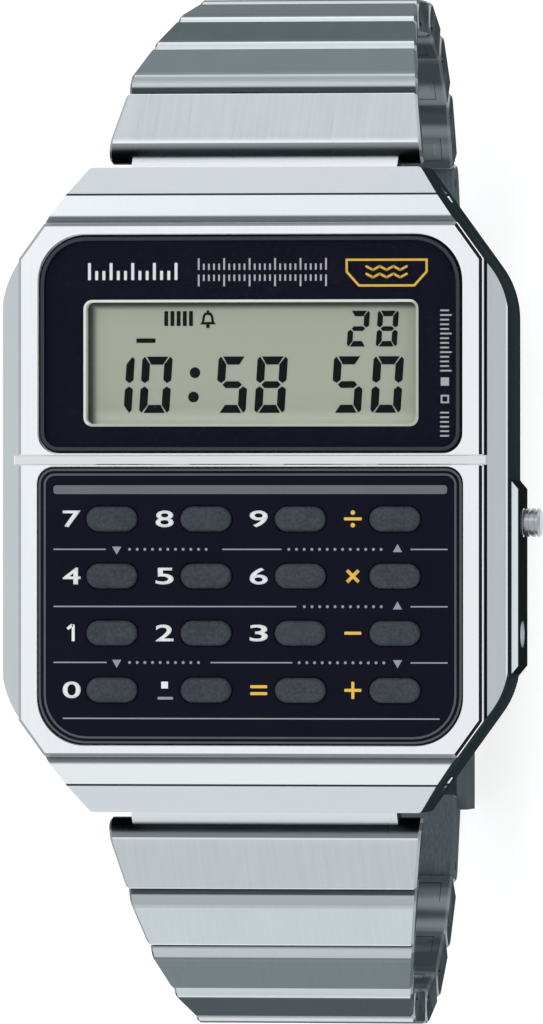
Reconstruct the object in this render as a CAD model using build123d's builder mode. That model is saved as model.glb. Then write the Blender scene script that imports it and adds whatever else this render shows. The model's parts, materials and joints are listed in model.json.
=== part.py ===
from build123d import *
from math import asin, cos, degrees, radians, sin
import os

# Calculator watch: a steel case with a display window above a sixteen-key pad, on a tapering link
# bracelet that a fold-over clasp closes. Z is the dial's normal, Y points to twelve o'clock and
# X to three o'clock. The origin lies on the clasp's outer face, on which the closed bracelet
# stands, straight under the middle of the dial. A depth is measured down from the face of the
# front plate. Millimetres.

overrun = 3.0  # how far a cut runs past the face that it opens
seat_gap = 0.05  # between fixed pieces that seat in each other
running_gap = 0.05  # round a pin, stem or bar that turns or slides
free_gap = 0.15  # between pieces that move past each other

# Case outline, seen from the front
case_width = 34.4
case_length = 43.3
corner_length = 8.25  # reach of a cut corner along the side
corner_width = 6.0  # reach of a cut corner along the end
flank_length = case_length - 2 * corner_length
end_width = case_width - 2 * corner_width
flank_radius = 6.0
end_radius = 0.4
body_bottom = 7.9

# Front plate, its seat, the side bevels and the facets at the two ends
plate_side = 1.5
plate_end = 3.8
plate_width = case_width - 2 * plate_side
plate_length = case_length - 2 * plate_end
plate_thickness = 0.8
plate_edge = 0.2
bevel_drop = 1.3
crease_depth = 0.5
crease_width = 0.45
ridge_inset = 1.85
shoulder_depth = 0.15
ridge_depth = 0.7
facet_drop = 1.8

# Cavity for the module
side_wall = 3.5
end_wall = 5.65
room_width = case_width - 2 * side_wall
room_length = case_length - 2 * end_wall
room_corner = 3.0
top_wall = 0.6
back_seat = 6.9

# Display window and the opening over the display
window_side = 1.3
window_end = 0.7
window_bottom = 2.4
window_width = plate_width - 2 * window_side
window_top = plate_length / 2 - window_end
window_top_radius = 3.25
window_bottom_radius = 1.4
window_recess = 0.1
mask_thickness = 0.25
view_side = 3.05
view_over = 4.42
view_under = 1.84
view_width = window_width - 2 * view_side
view_top = window_top - view_over
view_bottom = window_bottom + view_under
view_radius = 0.6
view_margin = 0.25

# Keypad window and the keys
pad_side = 1.25
pad_end = 0.68
pad_top = 1.58
pad_width = plate_width - 2 * pad_side
pad_bottom = pad_end - plate_length / 2
pad_top_radius = 1.2
pad_bottom_radius = 3.3
pad_recess = 0.15
key_column_share = 0.2211  # of the pad's width, from one key to the next
key_row_share = 0.2037  # of the pad's length
key_pitch_x = pad_width * key_column_share
key_pitch_y = (pad_top - pad_bottom) * key_row_share
key_offset_x = 0.24
key_offset_y = 0.105
key_length = 3.45
key_width = 1.68
key_proud = 0.25
key_round = 0.3
key_play = 0.08
key_flange = 0.25
key_flange_thickness = 0.45
key_travel = 0.3
key_rows = (
    ("7", "8", "9", "divide"),
    ("4", "5", "6", "multiply"),
    ("1", "2", "3", "minus"),
    ("0", "point", "equals", "plus"),
)

# Strip between the two windows
strip_width = 0.64
strip_thickness = 0.4
strip_proud = 0.06
strip_side = 0.22

# Display, frame, board and key membrane
frame_wall = 0.5
frame_bottom = 5.6
lcd_border = 0.55
lcd_width = view_width + 2 * lcd_border
lcd_top = view_top + lcd_border
lcd_bottom = view_bottom - lcd_border
lcd_thickness = 1.0
contact_width = 0.7
contact_inset = 0.3
board_depth = 3.4
board_thickness = 0.8
membrane_gap = 1.4
membrane_end = 0.95
membrane_top = 0.85
membrane_width = room_width - 2 * membrane_gap
membrane_length = room_length / 2 + membrane_top - membrane_end
membrane_corner = 2.4
membrane_depth = 2.4
dome_length = 3.0
dome_width = 1.5
bridge_width = 0.8
bridge_place = 2.2

# Cell, its strap and the sounder
cell_radius = 10.0
cell_thickness = 1.6
cell_end = 0.85
cell_gap = 0.1
strap_width = 3.6
strap_place = -6.2
strap_thickness = 0.25
sounder_radius = 8.0
sounder_thickness = 0.35
sounder_place = 3.0

# Case back, its gasket and screws
back_side = 2.0
back_end = 4.15
back_width = case_width - 2 * back_side
back_length = case_length - 2 * back_end
back_corner = 2.4
back_proud = 0.3
back_edge = 0.25
gasket_width = 0.8
gasket_height = 0.45
screw_side = 2.2
screw_end = 1.9
screw_x = back_width / 2 - screw_side
screw_y = back_length / 2 - screw_end
screw_head_radius = 0.95
screw_head_height = 0.6
screw_radius = 0.45
screw_length = 2.6
screw_slot_width = 0.3
screw_slot_depth = 0.25

# Pushers and the guard round them
pusher_depth = 4.8
guard_proud = 0.58
guard_top = 0.75
guard_bottom = -12.5
guard_start = 2.6
guard_end = 7.2
guard_ramp = 0.7
mode_place = -2.2
mode_radius = 0.97
mode_proud = 1.87
mode_length = 1.75
mode_travel = 0.6
mode_groove_count = 3
mode_groove_pitch = 0.4
mode_groove_width = 0.16
mode_groove_depth = 0.1
adjust_place = -9.7
adjust_radius = 0.85
adjust_proud = 0.45
adjust_length = 0.95
adjust_travel = 0.5
stem_radius = 0.45
pusher_play = 0.12
counterbore_wall = 2.4
clip_radius = 0.85
clip_thickness = 0.3
clip_gap = 0.15
seal_radius = 0.8
seal_width = 0.6
seal_inset = 0.9
contact_inward = 1.5
contact_thickness = 0.5
contact_height = 0.9
contact_length = 1.2
contact_gap = 0.1
mode_tip = case_width / 2 + mode_proud
adjust_tip = case_width / 2 + adjust_proud
contact_face = room_width / 2 - contact_inward

# Spring bars and the notches in the case ends
lug_depth = 5.6
lug_inset = 1.85
bar_radius = 0.75
bar_tip_radius = 0.5
bar_tip_length = 2.7
notch_depth = 4.2
notch_inset = 3.35

# Bracelet links: the slope of each is its turn below the dial's plane. The lower half reaches
# further out than the upper half, and its last link closes the loop at the clasp's height.
link_thickness = 2.4
link_lift = 0.5  # from a joint's axis out to the middle of the link's thickness
link_pitch = 5.4
first_link_length = 9.35
first_link_shoulder = 2.85
upper_slopes = (42, 65, 70, 78, 90, 112, 134, 152)
lower_slopes = (39.5, 49, 61, 72, 88, 107, 126)
end_slope = 162
band_side = 0.5  # from the case's end to the first link's side
neck_side = 2.15  # from the case's end to the neck's side
band_taper = 1.6
band_taper_count = 3.875  # how many tapers narrow the bracelet before it runs straight
band_start_width = end_width - 2 * band_side
band_end_width = band_start_width - band_taper_count * band_taper
neck_width = end_width - 2 * neck_side
neck_thickness = 1.6
neck_barrel = 1.15
link_edge = 0.15
link_side_edge = 0.18
tongue_width = 5.6
tongue_radius = 0.6
tongue_gap = 0.1
pin_radius = 0.35
pin_recess = 0.12
pin_seat = 0.02
pocket_wall = 0.7
pocket_skin = 0.6

# Clasp, from its outer face inward
clasp_pivot_height = 5.3
cover_side = 0.65
cover_width = band_end_width + 2 * cover_side
cover_thickness = 0.7
cover_wall = 0.7
cover_height = 4.4
cover_back = 19.9
cover_front = 17.5
cover_slant = 4.0
cover_edge = 0.4
end_length = 4.9
leaf_side = 1.85
leaf_width = cover_width - 2 * leaf_side
leaf_thickness = 0.6
leaf_barrel = 0.75
leaf_front = 15.3
leaf_back = 14.5
leaf_pin_radius = 0.35
slider_front = 10.0
slider_floor = 0.45
slider_wall = 0.65
slider_height = 5.1
seat_length = 1.9
strap_end_side = 1.1
strap_end_width = band_end_width - 2 * strap_end_side
strap_end_thickness = 0.9
strap_end_reach = 9.0
groove_start = -8.0
groove_pitch = 1.6
groove_width = 0.7
groove_depth = 0.4
groove_count = 9
lock_length = 11.6
lock_thickness = 0.5
lock_pivot = 3.6
lock_barrel = 0.4
lock_pin_radius = 0.22
lock_tooth_width = 0.4

# Places that follow from the sizes above
half_link = link_thickness / 2
room_depth = plate_thickness + top_wall
lug_y = case_length / 2 - lug_inset
link_count = len(upper_slopes)
link_lengths = [first_link_length] + [link_pitch] * (link_count - 1)


def chain(slopes):
    """The places of a half's joints, out along Y and down from the dial, from the lug on."""
    places = [(lug_y, lug_depth)]
    for length, slope in zip(link_lengths, slopes):
        y, depth = places[-1]
        places.append((y + length * cos(radians(slope)), depth + length * sin(radians(slope))))
    return places


upper_places = chain(upper_slopes)
closing_rise = upper_places[-1][1] - chain(lower_slopes)[-1][1]
closing_slope = 180 - degrees(asin(closing_rise / link_pitch))
joint_places = {1: upper_places, -1: chain(lower_slopes + (closing_slope,))}
link_slopes = {
    1: upper_slopes + (end_slope,),
    -1: lower_slopes + (closing_slope, end_slope),
}
dial_height = upper_places[-1][1] + clasp_pivot_height
clasp_middle = (joint_places[1][-1][0] - joint_places[-1][-1][0]) / 2
leaf_bottom = cover_thickness + free_gap
leaf_axis = cover_thickness + free_gap + seat_gap + leaf_barrel
slider_bottom = leaf_axis + leaf_barrel + free_gap + seat_gap
strap_end_bottom = slider_bottom + slider_floor + seat_gap
strap_end_top = strap_end_bottom + strap_end_thickness
lock_axis = strap_end_top + seat_gap + seat_gap + lock_barrel
stem_end_mode = contact_face + contact_gap + mode_travel
stem_end_adjust = contact_face + contact_gap + adjust_travel
counterbore_x = room_width / 2 + counterbore_wall


def level(depth):
    """The plane across the watch at a depth under the front plate's face."""
    return Plane.XY.offset(dial_height - depth)


def side_plane():
    """The plane of the watch's middle, seen from three o'clock: Y across and Z up."""
    return Plane(origin=(0, 0, 0), x_dir=(0, 1, 0), z_dir=(1, 0, 0))


def stem_plane(x, y):
    """A plane square to a pusher's axis, at its centre."""
    return Plane(origin=(x, y, dial_height - pusher_depth), x_dir=(0, 1, 0), z_dir=(1, 0, 0))


def layer(profile, top, bottom, mode=Mode.ADD):
    """A flat piece of an outline between two depths."""
    with BuildSketch(level(top)) as drawn:
        add(profile)
    extrude(drawn.sketch, amount=top - bottom, mode=mode)


def bar_section(points, width, mode=Mode.ADD):
    """A section in the watch's middle plane, as points of Y and Z, made as wide as the width."""
    with BuildSketch(side_plane()) as drawn:
        with BuildLine():
            Polyline(*points, close=True)
        make_face()
    extrude(drawn.sketch, amount=width / 2, both=True, mode=mode)


def cross_rod(y, z, radius, width, mode=Mode.ADD):
    """A round bar or bore along X, centred on the watch's middle plane."""
    with BuildSketch(side_plane()) as drawn:
        with Locations((y, z)):
            Circle(radius)
    extrude(drawn.sketch, amount=width / 2, both=True, mode=mode)


def clasp_section(points, width, mode=Mode.ADD):
    """A section of the clasp, with Y counted from the clasp's middle."""
    bar_section([(clasp_middle + y, z) for y, z in points], width, mode)


def clasp_rod(y, z, radius, width, mode=Mode.ADD):
    """A round bar or bore across the clasp, with Y counted from the clasp's middle."""
    cross_rod(clasp_middle + y, z, radius, width, mode)


def window_outline(width, top, bottom, top_radius, bottom_radius, margin):
    """A window with one radius at its top corners and another at its bottom corners."""
    with BuildSketch() as outline:
        with Locations((0, (top + bottom) / 2)):
            Rectangle(width - 2 * margin, top - bottom - 2 * margin)
        fillet(outline.vertices().group_by(Axis.Y)[-1], top_radius - margin)
        fillet(outline.vertices().group_by(Axis.Y)[0], bottom_radius - margin)
    return outline.sketch


def cut_corner_outline(width, length, corner, margin):
    """A rectangle with its corners cut off, drawn in by a margin."""
    with BuildSketch() as outline:
        Rectangle(width, length)
        chamfer(outline.vertices(), corner)
        offset(amount=-margin, kind=Kind.INTERSECTION)
    return outline.sketch


def box_outline(width, top, bottom):
    """A plain rectangle between two places along Y."""
    with BuildSketch() as outline:
        with Locations((0, (top + bottom) / 2)):
            Rectangle(width, top - bottom)
    return outline.sketch


with BuildSketch() as case_sketch:
    with BuildLine():
        Polyline(
            (case_width / 2, flank_length / 2),
            (end_width / 2, case_length / 2),
            (-end_width / 2, case_length / 2),
            (-case_width / 2, flank_length / 2),
            (-case_width / 2, -flank_length / 2),
            (-end_width / 2, -case_length / 2),
            (end_width / 2, -case_length / 2),
            (case_width / 2, -flank_length / 2),
            close=True,
        )
    make_face()
    fillet(case_sketch.vertices().filter_by(lambda v: abs(v.X) > plate_width / 2), flank_radius)
    fillet(case_sketch.vertices().filter_by(lambda v: abs(v.Y) > plate_length / 2), end_radius)
case_outline = case_sketch.sketch

with BuildSketch() as plate_sketch:
    add(case_outline)
    Rectangle(plate_width, plate_length, mode=Mode.INTERSECT)
plate_outline = plate_sketch.sketch

with BuildSketch() as guard_sketch:
    with BuildLine():
        Polyline(
            (case_width / 2 - guard_proud, guard_top),
            (case_width / 2, guard_top),
            (case_width / 2 + guard_proud, guard_top - guard_ramp),
            (case_width / 2 + guard_proud, guard_bottom + guard_ramp),
            (case_width / 2, guard_bottom),
            (case_width / 2 - guard_proud, guard_bottom),
            close=True,
        )
    make_face()
guard_outline = guard_sketch.sketch

room_outline = cut_corner_outline(room_width, room_length, room_corner, 0)
gasket_outer = cut_corner_outline(room_width, room_length, room_corner, -gasket_width)
gasket_seat = cut_corner_outline(room_width, room_length, room_corner, -gasket_width - seat_gap)
frame_outline = cut_corner_outline(room_width, room_length, room_corner, free_gap)
frame_hollow = cut_corner_outline(room_width, room_length, room_corner, free_gap + frame_wall)
board_outline = cut_corner_outline(
    room_width, room_length, room_corner, free_gap + frame_wall + seat_gap
)
back_outline = cut_corner_outline(back_width, back_length, back_corner, 0)
back_seat_outline = cut_corner_outline(back_width, back_length, back_corner, -seat_gap)
view_outline = window_outline(view_width, view_top, view_bottom, view_radius, view_radius, 0)
view_room = window_outline(
    view_width, view_top, view_bottom, view_radius, view_radius, -view_margin
)
window_hole = window_outline(
    window_width, window_top, window_bottom, window_top_radius, window_bottom_radius, 0
)
window_fill = window_outline(
    window_width, window_top, window_bottom, window_top_radius, window_bottom_radius, seat_gap
)
pad_hole = window_outline(pad_width, pad_top, pad_bottom, pad_top_radius, pad_bottom_radius, 0)
pad_fill = window_outline(
    pad_width, pad_top, pad_bottom, pad_top_radius, pad_bottom_radius, seat_gap
)

key_grid_y = (pad_top + pad_bottom) / 2 + key_offset_y
key_place = {}
for row, names in enumerate(key_rows):
    for column, name in enumerate(names):
        key_place[name] = (
            key_offset_x + (column - (len(names) - 1) / 2) * key_pitch_x,
            key_grid_y - (row - (len(key_rows) - 1) / 2) * key_pitch_y,
        )
key_span_x = (len(key_rows[0]) - 1) * key_pitch_x + key_length + 2 * key_flange
key_span_y = (len(key_rows) - 1) * key_pitch_y + key_width + 2 * key_flange

with BuildSketch() as key_room_sketch:
    with Locations((key_offset_x, key_grid_y)):
        RectangleRounded(
            key_span_x + 2 * free_gap, key_span_y + 2 * free_gap, key_width / 2
        )
key_room = key_room_sketch.sketch

strip_centre = (window_bottom + pad_top) / 2
pieces = {}

# Case body
with BuildPart() as case_body:
    layer(case_outline, 0, body_bottom)
    layer(guard_outline, guard_start, guard_end)
    # seat of the front plate, right across the body
    with BuildSketch(level(0)):
        Rectangle(case_width + overrun, plate_length + 2 * seat_gap)
    extrude(amount=-plate_thickness, mode=Mode.SUBTRACT)
    for end in (1, -1):
        # facets of the end, falling from the crease beside the plate
        facet_start = plate_length / 2 + seat_gap
        facet_end = case_length / 2
        facet_slope = facet_drop / ridge_inset
        facet_points = [
            (facet_start, -overrun),
            (facet_start, crease_depth),
            (facet_start + crease_width, shoulder_depth),
            (facet_end - ridge_inset, ridge_depth),
            (facet_end + overrun, ridge_depth + facet_slope * (ridge_inset + overrun)),
            (facet_end + overrun, -overrun),
        ]
        bar_section(
            [(end * y, dial_height - depth) for y, depth in facet_points],
            case_width + overrun,
            Mode.SUBTRACT,
        )
        # notch for the bracelet, with the spring bar's holes out through the cut corners
        notch_start = case_length / 2 - notch_inset
        notch_points = [
            (notch_start, notch_depth),
            (case_length / 2 + overrun, notch_depth),
            (case_length / 2 + overrun, body_bottom + overrun),
            (notch_start, body_bottom + overrun),
        ]
        bar_section(
            [(end * y, dial_height - depth) for y, depth in notch_points],
            neck_width + 2 * free_gap,
            Mode.SUBTRACT,
        )
        cross_rod(
            end * lug_y,
            dial_height - lug_depth,
            bar_tip_radius + seat_gap,
            case_width,
            Mode.SUBTRACT,
        )
    # bevels along the two sides
    for side in (1, -1):
        with BuildSketch(Plane.XZ):
            with BuildLine():
                Polyline(
                    (side * plate_width / 2, dial_height - plate_thickness),
                    (side * plate_width / 2, dial_height + overrun),
                    (side * (case_width / 2 + overrun), dial_height + overrun),
                    (side * (case_width / 2 + overrun), dial_height - plate_thickness - bevel_drop),
                    (side * case_width / 2, dial_height - plate_thickness - bevel_drop),
                    close=True,
                )
            make_face()
        extrude(amount=case_length, both=True, mode=Mode.SUBTRACT)
    # openings for the display and the keys, the module's cavity and the back's seat
    layer(view_room, plate_thickness, room_depth, Mode.SUBTRACT)
    layer(key_room, plate_thickness, room_depth, Mode.SUBTRACT)
    layer(room_outline, room_depth, body_bottom, Mode.SUBTRACT)
    layer(gasket_seat, back_seat - gasket_height, back_seat, Mode.SUBTRACT)
    layer(back_seat_outline, back_seat, body_bottom + overrun, Mode.SUBTRACT)
    with BuildSketch(level(back_seat)):
        with GridLocations(2 * screw_x, 2 * screw_y, 2, 2):
            Circle(screw_radius + seat_gap)
    extrude(amount=screw_length, mode=Mode.SUBTRACT)
    # counterbores, stem bores and seal grooves of the two pushers
    for place, radius in ((mode_place, mode_radius), (adjust_place, adjust_radius)):
        with BuildSketch(stem_plane(counterbore_x, place)):
            Circle(radius + pusher_play)
        extrude(amount=case_width / 2, mode=Mode.SUBTRACT)
        with BuildSketch(stem_plane(room_width / 4, place)):
            Circle(stem_radius + running_gap)
        extrude(amount=case_width / 2, mode=Mode.SUBTRACT)
        with BuildSketch(stem_plane(room_width / 2 + seal_inset - seat_gap, place)):
            Circle(seal_radius + seat_gap)
        extrude(amount=seal_width + 2 * seat_gap, mode=Mode.SUBTRACT)
pieces["case_body"] = case_body

# Front plate with its two windows
with BuildPart() as front_bezel:
    layer(plate_outline, 0, plate_thickness)
    chamfer(front_bezel.faces().sort_by(Axis.Z)[-1].edges(), plate_edge)
    layer(window_hole, 0, plate_thickness, Mode.SUBTRACT)
    layer(pad_hole, 0, plate_thickness, Mode.SUBTRACT)
    with BuildSketch(level(0)):
        with Locations((0, strip_centre)):
            Rectangle(plate_width + overrun, strip_width + 2 * seat_gap)
    extrude(amount=-strip_thickness, mode=Mode.SUBTRACT)
pieces["front_bezel"] = front_bezel

# Strip between the windows, folded down over the plate's sides
with BuildPart() as divider_strip:
    with BuildSketch(level(-strip_proud)):
        with Locations((0, strip_centre)):
            Rectangle(plate_width + 2 * strip_side + 2 * seat_gap, strip_width)
    extrude(amount=-plate_thickness - strip_proud)
    with BuildSketch(level(strip_thickness - seat_gap)):
        Rectangle(plate_width + 2 * seat_gap, plate_length)
    extrude(amount=-plate_thickness, mode=Mode.SUBTRACT)
    chamfer(divider_strip.faces().sort_by(Axis.Z)[-1].edges(), strip_proud)
pieces["divider_strip"] = divider_strip

with BuildPart() as display_window:
    layer(window_fill, window_recess, plate_thickness - mask_thickness)
    chamfer(display_window.faces().sort_by(Axis.Z)[-1].edges(), window_recess)
pieces["display_window"] = display_window

with BuildPart() as display_mask:
    layer(window_fill, plate_thickness - mask_thickness, plate_thickness)
    layer(view_outline, plate_thickness - mask_thickness, plate_thickness, Mode.SUBTRACT)
pieces["display_mask"] = display_mask

with BuildPart() as keypad_panel:
    layer(pad_fill, pad_recess, plate_thickness)
    with BuildSketch(level(pad_recess)):
        with Locations(*key_place.values()):
            SlotOverall(key_length + 2 * key_play, key_width + 2 * key_play)
    extrude(amount=pad_recess - plate_thickness, mode=Mode.SUBTRACT)
pieces["keypad_panel"] = keypad_panel

# Keys: a cap in the panel's hole and a flange behind the panel
flange_top = plate_thickness + seat_gap
for name, place in key_place.items():
    with BuildPart() as key:
        with BuildSketch(level(-key_proud)):
            with Locations(place):
                SlotOverall(key_length, key_width)
        extrude(amount=-key_proud - flange_top - key_flange_thickness)
        fillet(key.faces().sort_by(Axis.Z)[-1].edges(), key_round)
        with BuildSketch(level(flange_top)):
            with Locations(place):
                SlotOverall(key_length + 2 * key_flange, key_width + 2 * key_flange)
        extrude(amount=-key_flange_thickness)
    pieces["key_" + name] = key

# Display cell, on two contact strips that stand on the board
lcd_front = room_depth + seat_gap
with BuildPart() as lcd_panel:
    layer(box_outline(lcd_width, lcd_top, lcd_bottom), lcd_front, lcd_front + lcd_thickness)
pieces["lcd_panel"] = lcd_panel

with BuildPart() as contact_strips:
    for edge in (lcd_top - contact_inset, lcd_bottom + contact_inset + contact_width):
        layer(
            box_outline(lcd_width - 2 * contact_inset, edge, edge - contact_width),
            lcd_front + lcd_thickness,
            board_depth,
        )
pieces["contact_strips"] = contact_strips

with BuildPart() as module_frame:
    layer(frame_outline, room_depth + seat_gap, frame_bottom)
    layer(frame_hollow, room_depth + seat_gap, frame_bottom, Mode.SUBTRACT)
    # bridge between the display and the keys
    layer(
        box_outline(
            room_width - 2 * free_gap - frame_wall,
            bridge_place + bridge_width / 2,
            bridge_place - bridge_width / 2,
        ),
        room_depth + seat_gap,
        board_depth,
    )
    # clearance for the pushers' stems and clips
    for place in (mode_place, adjust_place):
        with BuildSketch(level(pusher_depth - clip_radius - free_gap)):
            with Locations((room_width / 2, place)):
                Rectangle(2 * overrun, 2 * clip_radius + 2 * free_gap)
        extrude(amount=-2 * clip_radius - overrun, mode=Mode.SUBTRACT)
pieces["module_frame"] = module_frame

board_bottom = board_depth + board_thickness
with BuildPart() as circuit_board:
    layer(board_outline, board_depth, board_bottom)
    for place in (mode_place, adjust_place):
        with BuildSketch(level(board_depth)):
            with Locations((contact_face + contact_gap, place)):
                Rectangle(
                    2 * overrun, 2 * clip_radius + 2 * free_gap, align=(Align.MIN, Align.CENTER)
                )
        extrude(amount=-board_thickness, mode=Mode.SUBTRACT)
pieces["circuit_board"] = circuit_board

# Rubber membrane with a dome under each key
with BuildSketch() as membrane_sketch:
    add(box_outline(membrane_width, membrane_top, membrane_top - membrane_length))
    chamfer(membrane_sketch.vertices().group_by(Axis.Y)[0], membrane_corner)
membrane_outline = membrane_sketch.sketch
dome_top = flange_top + key_flange_thickness + key_travel + seat_gap
with BuildPart() as keypad_membrane:
    layer(membrane_outline, membrane_depth, board_depth)
    with BuildSketch(level(dome_top)):
        with Locations(*key_place.values()):
            SlotOverall(dome_length, dome_width)
    extrude(amount=dome_top - membrane_depth)
pieces["keypad_membrane"] = keypad_membrane

# Button cell under the board, held by a strap that rests on the frame
cell_top = board_bottom + cell_gap
cell_place = cell_radius + cell_end + frame_wall + free_gap - room_length / 2
cell_bottom = cell_top + cell_thickness
with BuildPart() as coin_cell:
    with BuildSketch(level(cell_top)):
        with Locations((0, cell_place)):
            Circle(cell_radius)
    extrude(amount=-cell_thickness)
    chamfer(coin_cell.edges().filter_by(GeomType.CIRCLE), cell_gap)
pieces["coin_cell"] = coin_cell

with BuildPart() as cell_strap:
    strap_top = cell_bottom + seat_gap
    strap_outline = box_outline(
        room_width - 4 * free_gap, strap_place + strap_width / 2, strap_place - strap_width / 2
    )
    strap_room = box_outline(
        room_width - 4 * free_gap - 2 * frame_wall,
        strap_place + strap_width,
        strap_place - strap_width,
    )
    layer(strap_outline, frame_bottom, strap_top + strap_thickness)
    layer(strap_room, frame_bottom, strap_top, Mode.SUBTRACT)
pieces["cell_strap"] = cell_strap

with BuildPart() as switch_contacts:
    with BuildSketch(level(board_bottom)):
        with Locations((contact_face, mode_place), (contact_face, adjust_place)):
            Rectangle(contact_thickness, contact_length, align=(Align.MAX, Align.CENTER))
    extrude(amount=-contact_height)
pieces["switch_contacts"] = switch_contacts

with BuildPart() as case_gasket:
    layer(gasket_outer, back_seat - gasket_height, back_seat)
    layer(room_outline, back_seat - gasket_height, back_seat, Mode.SUBTRACT)
pieces["case_gasket"] = case_gasket

back_face = body_bottom + back_proud
with BuildPart() as case_back:
    layer(back_outline, back_seat, back_face)
    chamfer(case_back.faces().sort_by(Axis.Z)[0].edges(), back_edge)
    with BuildSketch(level(back_seat)):
        with GridLocations(2 * screw_x, 2 * screw_y, 2, 2):
            Circle(screw_radius + seat_gap)
    extrude(amount=back_seat - back_face, mode=Mode.SUBTRACT)
    with BuildSketch(level(back_face)):
        with GridLocations(2 * screw_x, 2 * screw_y, 2, 2):
            Circle(screw_head_radius + seat_gap)
    extrude(amount=screw_head_height, mode=Mode.SUBTRACT)
pieces["case_back"] = case_back

with BuildPart() as case_back_screws:
    with BuildSketch(level(back_face)):
        with GridLocations(2 * screw_x, 2 * screw_y, 2, 2):
            Circle(screw_head_radius)
    extrude(amount=screw_head_height)
    with BuildSketch(level(back_face - screw_head_height)):
        with GridLocations(2 * screw_x, 2 * screw_y, 2, 2):
            Circle(screw_radius)
    extrude(amount=screw_length)
    with BuildSketch(level(back_face)):
        with GridLocations(2 * screw_x, 2 * screw_y, 2, 2):
            Rectangle(2 * screw_head_radius, screw_slot_width)
    extrude(amount=screw_slot_depth, mode=Mode.SUBTRACT)
pieces["case_back_screws"] = case_back_screws

with BuildPart() as buzzer_disc:
    with BuildSketch(level(back_seat - seat_gap)):
        with Locations((0, sounder_place)):
            Circle(sounder_radius)
    extrude(amount=sounder_thickness)
pieces["buzzer_disc"] = buzzer_disc


def pusher(place, radius, tip, length, stem_end):
    """A cap on a stem, with its clip round the stem inside the case as a second solid."""
    clip_start = room_width / 2 - clip_gap - clip_thickness
    with BuildPart() as button:
        with BuildSketch(stem_plane(tip - length, place)):
            Circle(radius)
        extrude(amount=length)
        chamfer(button.faces().sort_by(Axis.X)[-1].edges(), mode_groove_width)
        with BuildSketch(stem_plane(stem_end, place)):
            Circle(stem_radius)
        extrude(amount=tip - length - stem_end)
        with BuildSketch(stem_plane(clip_start, place)):
            Circle(clip_radius)
            Circle(stem_radius + pin_seat, mode=Mode.SUBTRACT)
        extrude(amount=clip_thickness)
    return button


mode_button = pusher(mode_place, mode_radius, mode_tip, mode_length, stem_end_mode)
with BuildPart() as mode_pusher:
    add(mode_button.part)
    for groove in range(mode_groove_count):
        with BuildSketch(stem_plane(mode_tip - (groove + 1) * mode_groove_pitch, mode_place)):
            Circle(mode_radius + mode_groove_depth)
            Circle(mode_radius - mode_groove_depth, mode=Mode.SUBTRACT)
        extrude(amount=mode_groove_width, mode=Mode.SUBTRACT)
pieces["mode_pusher"] = mode_pusher
pieces["adjust_pusher"] = pusher(
    adjust_place, adjust_radius, adjust_tip, adjust_length, stem_end_adjust
)

with BuildPart() as pusher_seals:
    for place in (mode_place, adjust_place):
        with BuildSketch(stem_plane(room_width / 2 + seal_inset, place)):
            Circle(seal_radius)
            Circle(stem_radius + running_gap, mode=Mode.SUBTRACT)
        extrude(amount=seal_width)
pieces["pusher_seals"] = pusher_seals

# Spring bars, their tips in the lugs
with BuildPart() as spring_bars:
    for end in (1, -1):
        height = dial_height - lug_depth
        cross_rod(end * lug_y, height, bar_radius, neck_width)
        cross_rod(end * lug_y, height, bar_tip_radius, neck_width + 2 * bar_tip_length)
pieces["spring_bars"] = spring_bars


def band_planes(side, index):
    """Two planes at a bracelet joint, both with x along the link: its side section and its plan."""
    y, depth = joint_places[side][index]
    slope = radians(link_slopes[side][index])
    origin = (0, side * y, dial_height - depth)
    along = (0, side * cos(slope), -sin(slope))
    outward = (0, side * sin(slope), cos(slope))
    section = Plane(origin=origin, x_dir=along, z_dir=(side, 0, 0))
    plan = Plane(origin=origin, x_dir=along, z_dir=outward)
    return section, plan


def band_width(step):
    """The bracelet's width at the near edge of a link, counted from zero."""
    return max(band_start_width - step * band_taper, band_end_width)


def link_body(section, plan, near, far, near_width, far_width, lift):
    """A link's shell: round at its near edge, square at its far edge and tapering in width."""
    top = lift + half_link
    floor = lift - half_link
    with BuildSketch(section) as drawn:
        with BuildLine():
            Polyline(
                (near + half_link, top),
                (far - link_edge, top),
                (far, top - link_edge),
                (far, floor + link_edge),
                (far - link_edge, floor),
                (near + half_link, floor),
            )
            ThreePointArc((near + half_link, floor), (near, lift), (near + half_link, top))
        make_face()
    extrude(drawn.sketch, amount=near_width / 2, both=True)
    with BuildSketch(plan) as drawn:
        with BuildLine():
            Polyline(
                (near, near_width / 2),
                (far, far_width / 2),
                (far, -far_width / 2),
                (near, -near_width / 2),
                close=True,
            )
        make_face()
    extrude(drawn.sketch, amount=2 * link_thickness, both=True, mode=Mode.INTERSECT)


def side_faces(link):
    """The edges round a link's two side faces."""
    faces = link.faces().sort_by(Axis.X)
    return faces[0].edges() + faces[-1].edges()


def knuckle_slot(section, height):
    """The slot for the tongue before a link, open on the inner side, and the bore of its pin."""
    with BuildSketch(section) as drawn:
        with Locations((tongue_radius + tongue_gap, height)):
            Rectangle(
                2 * link_thickness, 3 * link_thickness, align=(Align.MAX, Align.MAX)
            )
    extrude(drawn.sketch, amount=tongue_width / 2 + free_gap, both=True, mode=Mode.SUBTRACT)
    with BuildSketch(section) as drawn:
        Circle(pin_radius + pin_seat)
    extrude(drawn.sketch, amount=band_start_width, both=True, mode=Mode.SUBTRACT)


def link_tongue(section, far, length):
    """The tongue on a link's far edge, with a bore that turns on the next link's pin."""
    with BuildSketch(section) as drawn:
        with Locations((length, 0)):
            Circle(tongue_radius)
            Rectangle(length - far, 2 * tongue_radius, align=(Align.MAX, Align.CENTER))
    extrude(drawn.sketch, amount=tongue_width / 2, both=True)
    with BuildSketch(section) as drawn:
        with Locations((length, 0)):
            Circle(pin_radius + running_gap)
    extrude(drawn.sketch, amount=tongue_width, both=True, mode=Mode.SUBTRACT)


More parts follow.
